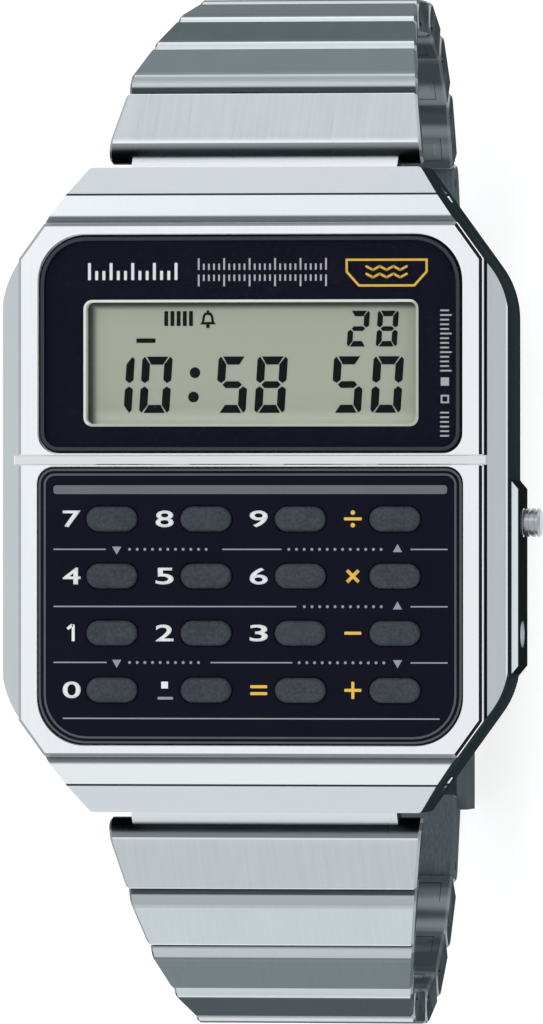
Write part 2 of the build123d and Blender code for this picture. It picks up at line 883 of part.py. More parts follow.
def link_pocket(section, start, end, width):
    """The hollow on a link's inner side."""
    with BuildSketch(section) as drawn:
        with Locations((start, link_lift + half_link - pocket_skin)):
            Rectangle(end - start, 2 * link_thickness, align=(Align.MIN, Align.MAX))
    extrude(drawn.sketch, amount=width / 2 - pocket_wall, both=True, mode=Mode.SUBTRACT)


def link_pin(section, width):
    """A link's pin, which lies inside its side faces."""
    with BuildSketch(section) as drawn:
        Circle(pin_radius)
    extrude(drawn.sketch, amount=width / 2 - pin_recess, both=True)


def first_link(side):
    """The link at the case, with its narrower neck down to the spring bar."""
    section, plan = band_planes(side, 0)
    length = link_lengths[0]
    far = length - half_link - free_gap
    with BuildPart() as link:
        link_body(
            section, plan, first_link_shoulder, far, band_width(0), band_width(1), link_lift
        )
        chamfer(side_faces(link), link_side_edge)
        link_pocket(
            section, first_link_shoulder + half_link, far - pocket_wall, band_width(1)
        )
        with BuildSketch(section):
            Circle(neck_barrel)
            Rectangle(
                first_link_shoulder + half_link,
                neck_thickness,
                align=(Align.MIN, Align.CENTER),
            )
        extrude(amount=neck_width / 2, both=True)
        with BuildSketch(section):
            Circle(bar_radius + running_gap)
        extrude(amount=band_start_width, both=True, mode=Mode.SUBTRACT)
        link_tongue(section, far, length)
    return link


def next_link(side, index):
    """Any link after the first: its own pin is a second solid."""
    section, plan = band_planes(side, index)
    length = link_lengths[index]
    far = length - half_link - free_gap
    near_width, far_width = band_width(index), band_width(index + 1)
    with BuildPart() as link:
        link_body(section, plan, -half_link, far, near_width, far_width, link_lift)
        chamfer(side_faces(link), link_side_edge)
        link_pocket(section, half_link + pocket_wall / 2, far - pocket_wall, far_width)
        knuckle_slot(section, tongue_radius + tongue_gap)
        link_tongue(section, far, length)
        link_pin(section, far_width)
    return link


for side, half in ((1, "upper"), (-1, "lower")):
    pieces[half + "_link_1"] = first_link(side)
    for index in range(1, link_count):
        pieces[f"{half}_link_{index + 1}"] = next_link(side, index)

# Strap end: the upper half's last piece, a flat grooved tongue that the clasp's slider grips
end_section, end_plan = band_planes(1, link_count)
with BuildPart() as strap_end:
    link_body(
        end_section, end_plan, -half_link, end_length, band_end_width, band_end_width, link_lift
    )
    chamfer(side_faces(strap_end), link_side_edge)
    knuckle_slot(end_section, tongue_radius + tongue_gap)
    strap_root = joint_places[1][-1][0] - clasp_middle - end_length + half_link / 2
    clasp_section(
        [
            (strap_root, strap_end_bottom),
            (strap_root, strap_end_top),
            (-strap_end_reach, strap_end_top),
            (-strap_end_reach, strap_end_bottom),
        ],
        strap_end_width,
    )
    for groove in range(groove_count):
        y = groove_start + groove * groove_pitch
        clasp_section(
            [
                (y - groove_width / 2, strap_end_top - groove_depth),
                (y + groove_width / 2, strap_end_top - groove_depth),
                (y + groove_width / 2, strap_end_top + groove_depth),
                (y - groove_width / 2, strap_end_top + groove_depth),
            ],
            strap_end_width - 2 * pocket_wall,
            Mode.SUBTRACT,
        )
    link_pin(end_section, band_end_width)
pieces["strap_end"] = strap_end

# Slider: a channel round the strap end, with a seat for the leaf's free barrel
slider_width = strap_end_width + 2 * free_gap + 2 * slider_wall
seat_front = leaf_back - seat_length
with BuildPart() as clasp_slider:
    clasp_section(
        [
            (-leaf_back + free_gap, slider_bottom),
            (slider_front, slider_bottom),
            (slider_front, slider_height),
            (-leaf_back + free_gap, slider_height),
        ],
        slider_width,
    )
    clasp_section(
        [
            (-leaf_back - overrun, slider_bottom + slider_floor),
            (slider_front + overrun, slider_bottom + slider_floor),
            (slider_front + overrun, slider_height + overrun),
            (-leaf_back - overrun, slider_height + overrun),
        ],
        slider_width - 2 * slider_wall,
        Mode.SUBTRACT,
    )
    seat_bottom = leaf_bottom + leaf_thickness + free_gap
    clasp_section(
        [
            (-leaf_back + free_gap, seat_bottom),
            (-seat_front, seat_bottom),
            (-seat_front, slider_bottom),
            (-leaf_back + free_gap, slider_bottom),
        ],
        leaf_width,
    )
    clasp_rod(-leaf_back, leaf_axis, leaf_barrel + free_gap, slider_width, Mode.SUBTRACT)
    clasp_rod(lock_pivot, lock_axis, lock_pin_radius + pin_seat, slider_width, Mode.SUBTRACT)
    clasp_rod(lock_pivot, lock_axis, lock_pin_radius, slider_width)
pieces["clasp_slider"] = clasp_slider

# Lock plate over the strap end, whose tooth stands in a groove
lock_bottom = strap_end_top + free_gap
lock_width = strap_end_width - 2 * seat_gap
with BuildPart() as clasp_lock_plate:
    lock_back = lock_pivot - lock_length
    clasp_section(
        [
            (lock_pivot, lock_bottom),
            (lock_pivot, lock_bottom + lock_thickness),
            (lock_back, lock_bottom + lock_thickness),
            (lock_back, lock_bottom),
        ],
        lock_width,
    )
    clasp_rod(lock_pivot, lock_axis, lock_barrel, lock_width)
    tooth_place = groove_start + groove_pitch
    clasp_section(
        [
            (tooth_place - lock_tooth_width / 2, strap_end_top - groove_depth + free_gap),
            (tooth_place + lock_tooth_width / 2, strap_end_top - groove_depth + free_gap),
            (tooth_place + lock_tooth_width / 2, lock_bottom),
            (tooth_place - lock_tooth_width / 2, lock_bottom),
        ],
        lock_width - 4 * pocket_wall,
    )
    clasp_rod(
        lock_pivot, lock_axis, lock_pin_radius + running_gap, slider_width, Mode.SUBTRACT
    )
pieces["clasp_lock_plate"] = clasp_lock_plate

# Leaf, hinged in the cover's front end
with BuildPart() as clasp_leaf:
    clasp_section(
        [
            (-leaf_back, leaf_bottom),
            (leaf_front, leaf_bottom),
            (leaf_front, leaf_bottom + leaf_thickness),
            (-leaf_back, leaf_bottom + leaf_thickness),
        ],
        leaf_width,
    )
    clasp_rod(leaf_front, leaf_axis, leaf_barrel, leaf_width)
    clasp_rod(-leaf_back, leaf_axis, leaf_barrel, leaf_width)
    clasp_rod(leaf_front, leaf_axis, leaf_pin_radius + running_gap, cover_width, Mode.SUBTRACT)
pieces["clasp_leaf"] = clasp_leaf

# Cover: a channel that folds over the leaf, hinged on the lower half's last link
cover_section, cover_plan = band_planes(-1, link_count)
with BuildPart() as clasp_cover:
    clasp_section(
        [
            (-cover_back, 0),
            (cover_front, 0),
            (cover_front, leaf_axis),
            (cover_front - cover_slant, cover_height),
            (-cover_back, cover_height),
        ],
        cover_width,
    )
    chamfer(clasp_cover.faces().sort_by(Axis.Z)[0].edges(), cover_edge)
    clasp_section(
        [
            (cover_wall - cover_back, cover_thickness),
            (cover_front + overrun, cover_thickness),
            (cover_front + overrun, cover_height + overrun),
            (cover_wall - cover_back, cover_height + overrun),
        ],
        cover_width - 2 * cover_wall,
        Mode.SUBTRACT,
    )
    clasp_rod(leaf_front, leaf_axis, leaf_pin_radius + pin_seat, cover_width, Mode.SUBTRACT)
with BuildPart() as cover_end:
    link_body(
        cover_section, cover_plan, -half_link, end_length, band_end_width, band_end_width, 0
    )
    chamfer(side_faces(cover_end), link_side_edge)
    # slot right through, because the cover swings far out round the tongue
    knuckle_slot(cover_section, link_thickness)
    link_pin(cover_section, band_end_width)
with BuildPart() as cover_whole:
    add(clasp_cover.part)
    add(cover_end.part)
    clasp_rod(leaf_front, leaf_axis, leaf_pin_radius, cover_width - 2 * pin_recess)
pieces["clasp_cover"] = cover_whole

os.makedirs("parts", exist_ok=True)
for name, piece in pieces.items():
    piece.part.label = name
    export_step(piece.part, "parts/" + name + ".step")
print(len(pieces), "pieces, dial", round(dial_height, 3), "mm above the clasp's face")
for side, places in joint_places.items():
    print("joints", [(round(side * y, 3), round(dial_height - depth, 3)) for y, depth in places])
print("clasp middle", round(clasp_middle, 3), "leaf", round(leaf_axis, 3), "lock", round(lock_axis, 3))
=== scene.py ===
import bpy
import json
from math import cos, radians, sin
from mathutils import Matrix, Vector


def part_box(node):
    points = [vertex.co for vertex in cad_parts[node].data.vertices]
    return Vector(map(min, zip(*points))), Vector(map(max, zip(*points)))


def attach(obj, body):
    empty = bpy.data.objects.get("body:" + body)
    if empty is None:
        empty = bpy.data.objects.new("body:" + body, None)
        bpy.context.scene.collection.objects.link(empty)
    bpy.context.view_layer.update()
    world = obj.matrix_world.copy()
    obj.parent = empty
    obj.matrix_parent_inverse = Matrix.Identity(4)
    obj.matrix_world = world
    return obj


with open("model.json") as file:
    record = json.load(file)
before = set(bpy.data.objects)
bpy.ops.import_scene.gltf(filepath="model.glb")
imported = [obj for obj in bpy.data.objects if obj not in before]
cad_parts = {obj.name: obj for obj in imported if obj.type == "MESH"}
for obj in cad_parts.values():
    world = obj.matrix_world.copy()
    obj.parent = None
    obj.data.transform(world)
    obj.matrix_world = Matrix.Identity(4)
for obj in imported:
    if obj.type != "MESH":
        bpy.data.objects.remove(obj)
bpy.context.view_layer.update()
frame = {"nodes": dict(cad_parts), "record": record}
cadNodes = frame["nodes"]
mm = 0.001
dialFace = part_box("front_bezel")[1].z  # the front plate's face
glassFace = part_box("display_window")[1].z
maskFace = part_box("display_mask")[1].z
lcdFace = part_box("lcd_panel")[1].z
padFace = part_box("keypad_panel")[1].z
print("frame loaded", len(cadNodes), "nodes")


# shader maths: a socket with the plain operators
class Wire:
    def __init__(self, tree, socket):
        self.tree = tree
        self.socket = socket

    def node(self, kind, settings=None, sockets=None, out=0):
        made = self.tree.nodes.new(kind)
        for name, value in (settings or {}).items():
            if name == "stops":
                ramp = made.color_ramp
                while len(ramp.elements) < len(value):
                    ramp.elements.new(0.5)
                for stop, (place, tone) in zip(ramp.elements, value):
                    stop.position = place
                    stop.color = (*tone, 1)
            else:
                setattr(made, name, value)
        for key, value in (sockets or {}).items():
            if isinstance(value, Wire):
                self.tree.links.new(value.socket, made.inputs[key])
            else:
                made.inputs[key].default_value = value
        return Wire(self.tree, made.outputs[out])

    def maths(self, operation, first, second=0.0):
        return self.node("ShaderNodeMath", {"operation": operation}, {0: first, 1: second})

    def __add__(self, other):
        return self.maths("ADD", self, other)

    def __radd__(self, other):
        return self.maths("ADD", other, self)

    def __sub__(self, other):
        return self.maths("SUBTRACT", self, other)

    def __rsub__(self, other):
        return self.maths("SUBTRACT", other, self)

    def __mul__(self, other):
        return self.maths("MULTIPLY", self, other)

    def __rmul__(self, other):
        return self.maths("MULTIPLY", other, self)

    def __gt__(self, other):
        return self.maths("GREATER_THAN", self, other)

    def __lt__(self, other):
        return self.maths("LESS_THAN", self, other)

    def most(self, other):
        return self.maths("MAXIMUM", self, other)

    def size(self):
        return self.maths("ABSOLUTE", self)

    def rise(self, low, high, start=0.0, end=1.0):  # a soft step up between low and high
        return self.node("ShaderNodeMapRange", {"interpolation_type": "SMOOTHSTEP"},
                         {"Value": self, "From Min": low, "From Max": high, "To Min": start, "To Max": end})

    def fall(self, low, high):  # a soft step down
        return self.rise(low, high, 1.0, 0.0)

    def axes(self):
        split = self.node("ShaderNodeSeparateXYZ", None, {0: self}).socket.node
        return [Wire(self.tree, split.outputs[k]) for k in range(3)]

    def facing(self):  # the surface's direction, from the node that gives the place
        return Wire(self.tree, self.socket.node.outputs["Normal"])

    def noise(self, scale, detail, stretch=(1, 1, 1), roughness=0.5):
        place = self.node("ShaderNodeMapping", None, {"Vector": self, "Scale": stretch})
        return place.node("ShaderNodeTexNoise", None,
                          {"Vector": place, "Scale": scale, "Detail": detail, "Roughness": roughness})

    def blend(self, first, second):  # two colours, by this wire as the factor
        return self.node("ShaderNodeMix", {"data_type": "RGBA"}, {0: self, 6: first, 7: second}, 2)

    def tint(self, colour):  # a colour made lighter or darker by this wire
        return self.node("ShaderNodeVectorMath", {"operation": "SCALE"}, {0: colour, "Scale": self})

    def bump(self, strength, distance):
        return self.node("ShaderNodeBump", None, {"Height": self, "Strength": strength, "Distance": distance})


def rgb(*values):  # a colour as the shader takes it, 0 to 1
    return values + (1.0,)


def screen(red, green, blue):  # a colour as it looks on screen, 0 to 255
    return tuple((v / 255 / 12.92 if v <= 10 else ((v / 255 + 0.055) / 1.055) ** 2.4)
                 for v in (red, green, blue)) + (1.0,)


def shade(tone, share):
    return tuple(min(1.0, c * share) for c in tone[:3]) + (1.0,)


def startMaterial(name, **fixed):
    material = bpy.data.materials.new(name)
    material.use_nodes = True
    shader = material.node_tree.nodes["Principled BSDF"]
    for key, value in fixed.items():
        shader.inputs[key.replace("_", " ")].default_value = value
    coordinates = material.node_tree.nodes.new("ShaderNodeTexCoord")
    return material, shader, Wire(material.node_tree, coordinates.outputs["Object"])


def plug(shader, name, wire):
    wire.tree.links.new(wire.socket, shader.inputs[name])


# the way that brushed scratches run, and how deep they and the moulded texture are, in metres
grainTurns = {"x": (0.012, 1, 1), "y": (1, 0.012, 1)}
scratchDepth = 0.00002
textureDepth = 0.00003


def brushedSteel(name, look):
    # fine parallel scratches over a broad cloudy tone
    material, shader, place = startMaterial(name, Metallic=1.0, Specular_IOR_Level=0.0)
    grain = place.noise(look["grain"], 2.0, grainTurns[look["along"]])
    cloud = place.noise(90, 2.0)
    tone = grain * look["streak"] + cloud * look["cloud"] + (1 - (look["streak"] + look["cloud"]) / 2)
    colour = tone.tint(look["tone"][:3])
    if "dim" in look:  # sides, and faces turned to the wrist, are painted dark as shade, with a random mottle
        nx, _, nz = place.facing().axes()
        dim = nx.size().rise(0.6, 0.85).most(nz.rise(0.2, 0.5))
        shadeMottle = (grain * 0.6 + cloud * 0.4).rise(0.3, 0.7)
        colour = dim.blend(colour, shadeMottle.blend(look["dim"], shade(look["dim"], 1.5)))
        plug(shader, "Metallic", 1 - dim)
    plug(shader, "Base Color", colour)
    plug(shader, "Roughness", grain * look["spread"] + look["rough"])
    plug(shader, "Normal", grain.bump(look["bump"], scratchDepth))
    return material


# steel of the case: pale facets in tones of painted light, parted by painted shade in the creases, and a wall
# below the bevels painted dark as a reflection
caseLook = {
    "low": screen(214, 220, 225), "high": screen(222, 228, 232), "highLow": screen(236, 242, 244),
    "crease": screen(130, 137, 141), "line": screen(54, 60, 63), "bevel": screen(190, 196, 200),
    "lip": screen(246, 250, 252), "wall": screen(36, 45, 47), "flank": screen(24, 30, 32),
    "edgeShadow": screen(14, 20, 24), "strip": screen(216, 224, 228), "grain": 9000, "rough": 0.2,
}
casePlaces = {  # metres from the dial's middle, but the lip and the wall are measured down from its face
    "facetEdge": 0.01979, "lineHalf": 0.00007, "crease": 0.01808, "creaseFade": (0.00005, 0.0004),
    "lip": (0.00196, 0.00202), "wall": (0.0017, 0.0019), "edgeShadow": 0.01583, "edgeShadowFade": (0.00008, 0.00012),
    "flank": 0.0173, "guard": 0.01735, "gap": 0.01715,
}


def caseSteel():
    material, shader, place = startMaterial("caseSteel", Specular_IOR_Level=0.0)
    x, y, z = place.axes()
    nx, ny, nz = place.facing().axes()
    along = y.size()
    depth = dialFace - z
    grain = place.noise(caseLook["grain"], 2.0, grainTurns["y"])
    cloud = place.noise(120, 2.0)
    # the facets and the bevel are one steel painted in lit and shaded tones by how each faces; the upper
    # end's high facet is painted darker than the lower end's
    high = (y > 0.0).blend(caseLook["highLow"], caseLook["high"])
    facet = (along > casePlaces["facetEdge"]).blend(high, caseLook["low"])
    # painted shade in the crease between the front plate's end and the high facet
    creaseShade = (along - casePlaces["crease"]).size().fall(*casePlaces["creaseFade"])
    facet = creaseShade.blend(facet, caseLook["crease"])
    notch = (along - casePlaces["facetEdge"]).size() < casePlaces["lineHalf"]
    facet = notch.blend(facet, caseLook["line"])
    # painted highlight along the bevel's lower edge
    bevel = depth.rise(*casePlaces["lip"]).blend(caseLook["bevel"], caseLook["lip"])
    # painted shadow in the gap between the front plate and the bevel
    edgeShadow = (x - casePlaces["edgeShadow"]).size().fall(*casePlaces["edgeShadowFade"])
    bevel = edgeShadow.blend(bevel, caseLook["edgeShadow"])
    sideways = nx.size().rise(0.25, 0.4)
    colour = sideways.blend(facet, bevel)
    # the walls below the bevels, the cut corners and the body's side are painted dark as a reflection of a
    # dark surround, with a painted sheen, and lose their metal
    cut = (nx * ny).size().rise(0.1, 0.2) * nz.size().fall(0.3, 0.4)
    wall = cut.most((nx.size() + ny.size()).rise(0.85, 0.95) * depth.rise(*casePlaces["wall"]))
    sheen = place.noise(140, 2.0, (1, 0.3, 2.5)).rise(0.4, 0.75)
    darkReflection = sheen.blend(caseLook["wall"], shade(caseLook["wall"], 1.5))
    colour = wall.blend(colour, (x > casePlaces["flank"]).blend(darkReflection, caseLook["flank"]))
    guard = (x > casePlaces["guard"]) * nz.rise(0.4, 0.7)
    # painted shade in the gap beside the guard
    gap = (x > casePlaces["gap"]) * nz.rise(0.4, 0.7) - guard
    colour = gap.blend(guard.blend(colour, caseLook["strip"]), caseLook["wall"])
    tone = grain * 0.05 + cloud * 0.04 + 0.955
    plug(shader, "Base Color", tone.tint(colour))
    plug(shader, "Metallic", 1 - wall.most(gap))
    plug(shader, "Roughness", grain * 0.08 + caseLook["rough"])
    plug(shader, "Normal", grain.bump(0.06, scratchDepth))
    return material


# front plate: fine brushed, with a painted dark reflection on its edge on the pusher side, painted grey shade
# on the other edge, and painted highlights on its ends and walls
plateLook = {
    "face": screen(236, 240, 244), "edge": screen(30, 34, 38), "far": screen(150, 154, 158),
    "end": screen(250, 253, 255), "grain": 8000, "rough": 0.18,
}


def plateSteel():
    material, shader, place = startMaterial("plateSteel", Specular_IOR_Level=0.0)
    nx, ny, nz = place.facing().axes()
    grain = place.noise(plateLook["grain"], 2.0, grainTurns["y"])
    cloud = place.noise(90, 2.0)
    # the rounded edge is painted dark as a reflection on the pusher side, grey as shade on the other side,
    # and bright as a highlight at the ends; the side walls are painted bright as a highlight and lose their
    # metal
    rounded = nz.rise(0.2, 0.35) * nz.fall(0.96, 0.99)
    edge = nx.rise(0.1, 0.25).blend(plateLook["far"], plateLook["edge"])
    edge = ny.size().rise(0.9, 0.97).blend(edge, plateLook["end"])
    colour = rounded.blend(plateLook["face"], edge)
    flank = nx.size().rise(0.9, 0.98)
    colour = flank.blend(colour, plateLook["end"])
    tone = grain * 0.05 + cloud * 0.04 + 0.955
    plug(shader, "Base Color", tone.tint(colour))
    plug(shader, "Metallic", 1 - flank)
    plug(shader, "Roughness", grain * 0.06 + plateLook["rough"])
    plug(shader, "Normal", grain.bump(0.05, scratchDepth))
    return material


# links: satin faces in tones of painted light and shade, painted highlights on the rounded ends, and sides
# and insides painted dark as shade and reflection, with painted wavy glints
# painted light on the links: the shoulder, gap, side and inside tones are painted shade and dark reflection,
# the roll tone paints the light on the rolled edge, the bright, glint and inner glint tones are painted
# highlights and glints, and the neck tones are painted light for each half
linkLook = {
    "shoulder": screen(122, 128, 132), "bright": screen(244, 249, 251), "roll": screen(168, 175, 179),
    "under": screen(66, 73, 76), "dark": screen(54, 62, 65), "glint": screen(104, 112, 116),
    "inner": screen(82, 90, 94), "innerGlint": screen(156, 164, 168), "rim": rgb(0.4, 0.42, 0.43),
    "neck": {"upper": screen(250, 252, 254), "lower": screen(228, 234, 238)}, "grain": 7000,
    "neckReach": 0.0224, "firstRim": 0.00801, "laterRim": 0.00406, "rimBand": (0.00024, 0.0002),
}
# the tones are painted light and shade for each link, darkest where the loop turns away, and the ends are
# painted light and shade on each link's rounded near end
linkPlan = {  # one value for each link, from the case to the clasp
    "upper": {
        "turn": 1,
        "slopes": [42, 65, 70, 78, 90, 112, 134, 152],
        "shadedTones": [(206, 213, 218), (124, 133, 137), (102, 111, 113), (116, 124, 128),
                  (120, 128, 132), (132, 140, 144), (146, 153, 157), (160, 167, 170)],
        "ends": [(206, 213, 216), (200, 206, 211), (218, 227, 231), (228, 236, 238),
                 (200, 207, 210), (200, 207, 210), (200, 207, 210), (200, 207, 210)],
        "masks": [0, 0.26, 0.26, 0.4, 0.4, 0.4, 0.4, 0.4],
        "stops": [0, 0.44, 0.76, 0.72, 0.7, 0.7, 0.7, 0.7],
        "gaps": [0, 0.86, 0.92, 0.92, 0.92, 0.92, 0.92, 0.92],
        "rims": [1, 0, 0, 0, 0, 0, 0, 0],
    },
    "lower": {
        "turn": -1,
        "slopes": [39.5, 49, 61, 72, 88, 107, 126, 139],
        "shadedTones": [(198, 205, 209), (188, 196, 200), (117, 126, 129), (84, 92, 95),
                  (108, 116, 120), (128, 136, 140), (146, 153, 157), (160, 167, 170)],
        "ends": [(222, 229, 232), (172, 178, 181), (192, 201, 203), (206, 213, 217),
                 (200, 207, 210), (200, 207, 210), (200, 207, 210), (200, 207, 210)],
        "masks": [0, 0.24, 0.36, 0.3, 0.4, 0.4, 0.4, 0.4],
        "stops": [0, 0.68, 0.8, 0.84, 0.7, 0.7, 0.7, 0.7],
        "gaps": [0, 0.74, 0.84, 0.9, 0.92, 0.92, 0.92, 0.92],
        "rims": [1, 1, 0, 0, 0, 0, 0, 0],
    },
}
linkRoots = {  # each link's joint across the dial and up, mm
    "upper": [(19.8, 43.633), (26.748, 37.377), (29.031, 32.483), (30.877, 27.408),
              (32.0, 22.126), (32.0, 16.726), (29.977, 11.72), (26.226, 7.835)],
    "lower": [(-19.8, 43.633), (-27.015, 37.686), (-30.557, 33.61), (-33.175, 28.887),
              (-34.844, 23.752), (-35.033, 18.355), (-33.454, 13.191), (-30.28, 8.822)],
}


def linkSteel(name, half, step):
    plan = linkPlan[half]
    slope = radians(plan["slopes"][step])
    material, shader, place = startMaterial(name, Metallic=1.0, Specular_IOR_Level=0.0,
                                            Specular_Tint=linkLook["rim"])
    _, y, z = place.axes()
    nx, ny, nz = place.facing().axes()
    outward = ny * (plan["turn"] * sin(slope)) + nz * cos(slope)
    onward = ny * (plan["turn"] * cos(slope)) - nz * sin(slope)
    near = -1 * onward
    grain = place.noise(linkLook["grain"], 2.0, (1, 0.015, 0.015))
    cloud = place.noise(480, 3.0, (1, 0.4, 0.4))
    glintWaves = place.noise(420, 1.0, (0.05, 1, 1)).rise(0.46, 0.62)
    face = grain * 0.14 + cloud * 0.1 + 0.88
    tone = face.tint(screen(*plan["shadedTones"][step])[:3])
    if step == 0:  # the first link rolls over to the case, with painted shade on its shoulder and a neck painted bright against the case's shadow
        glow = near.rise(0.40, 0.45) * near.fall(0.48, 0.54)
        low = near.rise(0.6, 0.9)
        tone = near.rise(0.47, 0.54).blend(tone, linkLook["shoulder"])
        tone = (y.size() < linkLook["neckReach"]).blend(tone, linkLook["neck"][half])
    else:
        first, last, gap = plan["masks"][step], plan["stops"][step], plan["gaps"][step]
        glow = near.rise(first, first + 0.06) * near.fall(last, last + 0.06)
        low = near.rise(gap, gap + 0.06)
        # painted light and shade on the rolled edge
        tone = near.rise(last, last + 0.06).blend(tone, linkLook["roll"])
    if plan["rims"][step]:  # a painted highlight line along the face's far edge
        away, tall = linkRoots[half][step]
        far = linkLook["firstRim"] if step == 0 else linkLook["laterRim"]
        start, end = linkLook["rimBand"]
        reach = (y * plan["turn"] - abs(away) * mm) * cos(slope) - (z - tall * mm) * sin(slope)
        band = reach.rise(far - start, far - end) * outward.rise(0.8, 0.9)
        tone = band.blend(tone, linkLook["bright"])
    # painted highlight band on the rounded near end, painted highlight where the face turns onward, and
    # painted shade where it turns down into the gap
    colour = glow.blend(tone, screen(*plan["ends"][step]))
    colour = onward.rise(0.1, 0.2).blend(colour, linkLook["bright"])
    colour = low.blend(colour, linkLook["under"])
    # faces turned to the inside of the loop and the sides are painted dark as shade and dark reflection, with
    # painted glints in wavy bands, and lose part of their metal
    inside = outward.fall(-0.9, -0.3)
    colour = inside.blend(colour, glintWaves.blend(linkLook["inner"], linkLook["innerGlint"]))
    side = nx.size().rise(0.6, 0.85)
    dark = (glintWaves * 0.3 + grain * 0.25).blend(linkLook["dark"], linkLook["glint"])
    plug(shader, "Base Color", side.blend(colour, dark))
    plug(shader, "Metallic", 1 - side.most(inside * 0.6))
    plug(shader, "Roughness", grain * 0.12 + 0.24)
    plug(shader, "Normal", grain.bump(0.03, scratchDepth))
    return material


def plainPolish(name, tone, rough, grain, relief, metallic=0.0, shine=0.5):
    # moulded or turned small parts: slight mottling and fine surface texture
    material, shader, place = startMaterial(name, Metallic=metallic, Specular_IOR_Level=shine)
    cloud = place.noise(300, 3.0)
    fine = place.noise(grain, 3.0)
    plug(shader, "Base Color", cloud.blend(shade(tone, 0.8), shade(tone, 1.15)))
    plug(shader, "Roughness", fine * 0.16 + (rough - 0.08))
    plug(shader, "Normal", fine.bump(relief, textureDepth))
    return material


def windowGlass():
    # clear glass with a faint bluish haze
    material, shader, place = startMaterial("windowGlass", Roughness=0.03, IOR=1.5, Specular_IOR_Level=0.1)
    haze = place.noise(140, 2.0)
    plug(shader, "Base Color", haze.blend(rgb(0.01, 0.012, 0.02), rgb(0.02, 0.022, 0.03)))
    plug(shader, "Alpha", haze * 0.02 + 0.03)
    material.surface_render_method = "BLENDED"
    return material


# display sheet: grey-green, painted paler at its foot as light, with a painted soft shadow along its top and
# left edges
lcdLook = {
    "dull": screen(168, 172, 158), "clear": screen(178, 182, 167), "foot": screen(202, 206, 192),
    "edgeShadow": screen(62, 66, 60), "footTop": 0.0056, "footFade": 0.001,
    "edgeShadowTop": (0.0120, 0.01245), "edgeShadowLeft": (0.0104, 0.0110), "relief": 0.00001,
}


def lcdSheet():
    material, shader, place = startMaterial("lcdSheet", Roughness=0.35, Specular_IOR_Level=0.2)
    x, y, _ = place.axes()
    cloud = place.noise(60, 2.0)
    fine = place.noise(5000, 2.0)
    # painted light at the foot, and painted shadow along the top and left edges
    lift = (lcdLook["footTop"] - y).rise(0.0, lcdLook["footFade"])
    edgeShadow = y.rise(*lcdLook["edgeShadowTop"]).most((-1 * x).rise(*lcdLook["edgeShadowLeft"]))
    sheet = lift.blend(cloud.blend(lcdLook["dull"], lcdLook["clear"]), lcdLook["foot"])
    plug(shader, "Base Color", edgeShadow.blend(sheet, lcdLook["edgeShadow"]))
    plug(shader, "Normal", fine.bump(0.04, lcdLook["relief"]))
    return material


def speckledKey():
    # moulded key tops: a fine uneven mottle
    material, shader, place = startMaterial("keySlate", Specular_IOR_Level=0.2)
    fine = place.noise(5200, 3.0, roughness=0.6)
    cloud = place.noise(700, 2.0)
    specks = (fine * 0.7 + cloud * 0.3).rise(0.36, 0.64)
    plug(shader, "Base Color", specks.blend(screen(44, 49, 58), screen(60, 66, 74)))
    plug(shader, "Roughness", fine * 0.2 + 0.34)
    plug(shader, "Normal", fine.bump(0.07, textureDepth))
    return material


def printedInk(name, tone):
    # flat print with a slightly uneven coat
    material, shader, place = startMaterial(name, Specular_IOR_Level=0.1)
    fine = place.noise(4000, 3.0)
    plug(shader, "Base Color", fine.blend(shade(tone, 0.9), shade(tone, 1.05)))
    plug(shader, "Roughness", fine * 0.12 + 0.39)
    return material


materials = {
    "case_steel": caseSteel(),
    "plate_steel": plateSteel(),
    "strip_steel": brushedSteel("stripSteel", {
        "tone": screen(224, 228, 231), "along": "x", "grain": 6000, "streak": 0.03, "cloud": 0.03,
        "spread": 0.04, "rough": 0.08, "bump": 0.03}),
    "window_glass": windowGlass(),
    "panel_navy": plainPolish("panelNavy", screen(12, 14, 30), rough=0.25, grain=2500, relief=0.02,
                              shine=0.06),
    "display_grey": lcdSheet(),
    "contact_rubber": plainPolish("contactRubber", screen(92, 94, 98), rough=0.7, grain=3000, relief=0.2),
    "frame_plastic": plainPolish("framePlastic", screen(40, 42, 46), rough=0.5, grain=2200, relief=0.15),
    "board_green": plainPolish("boardGreen", screen(20, 88, 52), rough=0.4, grain=1800, relief=0.1),
    "cell_steel": brushedSteel("cellSteel", {
        "tone": screen(212, 214, 216), "along": "x", "grain": 5000, "streak": 0.08, "cloud": 0.06,
        "spread": 0.1, "rough": 0.25, "bump": 0.1}),
    "spring_steel": brushedSteel("springSteel", {
        "tone": screen(200, 203, 208), "along": "x", "grain": 5000, "streak": 0.08, "cloud": 0.05,
        "spread": 0.08, "rough": 0.22, "bump": 0.1}),
    "contact_brass": plainPolish("contactBrass", screen(214, 178, 96), rough=0.3, grain=2500, relief=0.08,
                                 metallic=1.0),
    "seal_rubber": plainPolish("sealRubber", screen(30, 31, 33), rough=0.6, grain=3000, relief=0.15),
    "back_steel": brushedSteel("backSteel", {
        "tone": screen(208, 212, 216), "along": "x", "grain": 6000, "streak": 0.14, "cloud": 0.06,
        "spread": 0.12, "rough": 0.24, "bump": 0.14}),
    "key_slate": speckledKey(),
    "pusher_steel": brushedSteel("pusherSteel", {
        "tone": screen(162, 167, 171), "along": "x", "grain": 5000, "streak": 0.1, "cloud": 0.05,
        "spread": 0.08, "rough": 0.18, "bump": 0.08}),
    # the clasp's dim tone is painted shade on its sides and wrist-side faces
    "clasp_steel": brushedSteel("claspSteel", {
        "tone": screen(206, 211, 215), "along": "y", "grain": 7000, "streak": 0.14, "cloud": 0.06,
        "spread": 0.1, "rough": 0.24, "bump": 0.12, "dim": screen(76, 84, 88)}),
}
slotOf = {s["node"]: s["material_slot"] for s in frame["record"]["subparts"]}


def linkOf(nodeName):  # which half of the bracelet a link is in, and its place from the case, from 0
    half, _, number = nodeName.split("_")
    return half, int(number) - 1


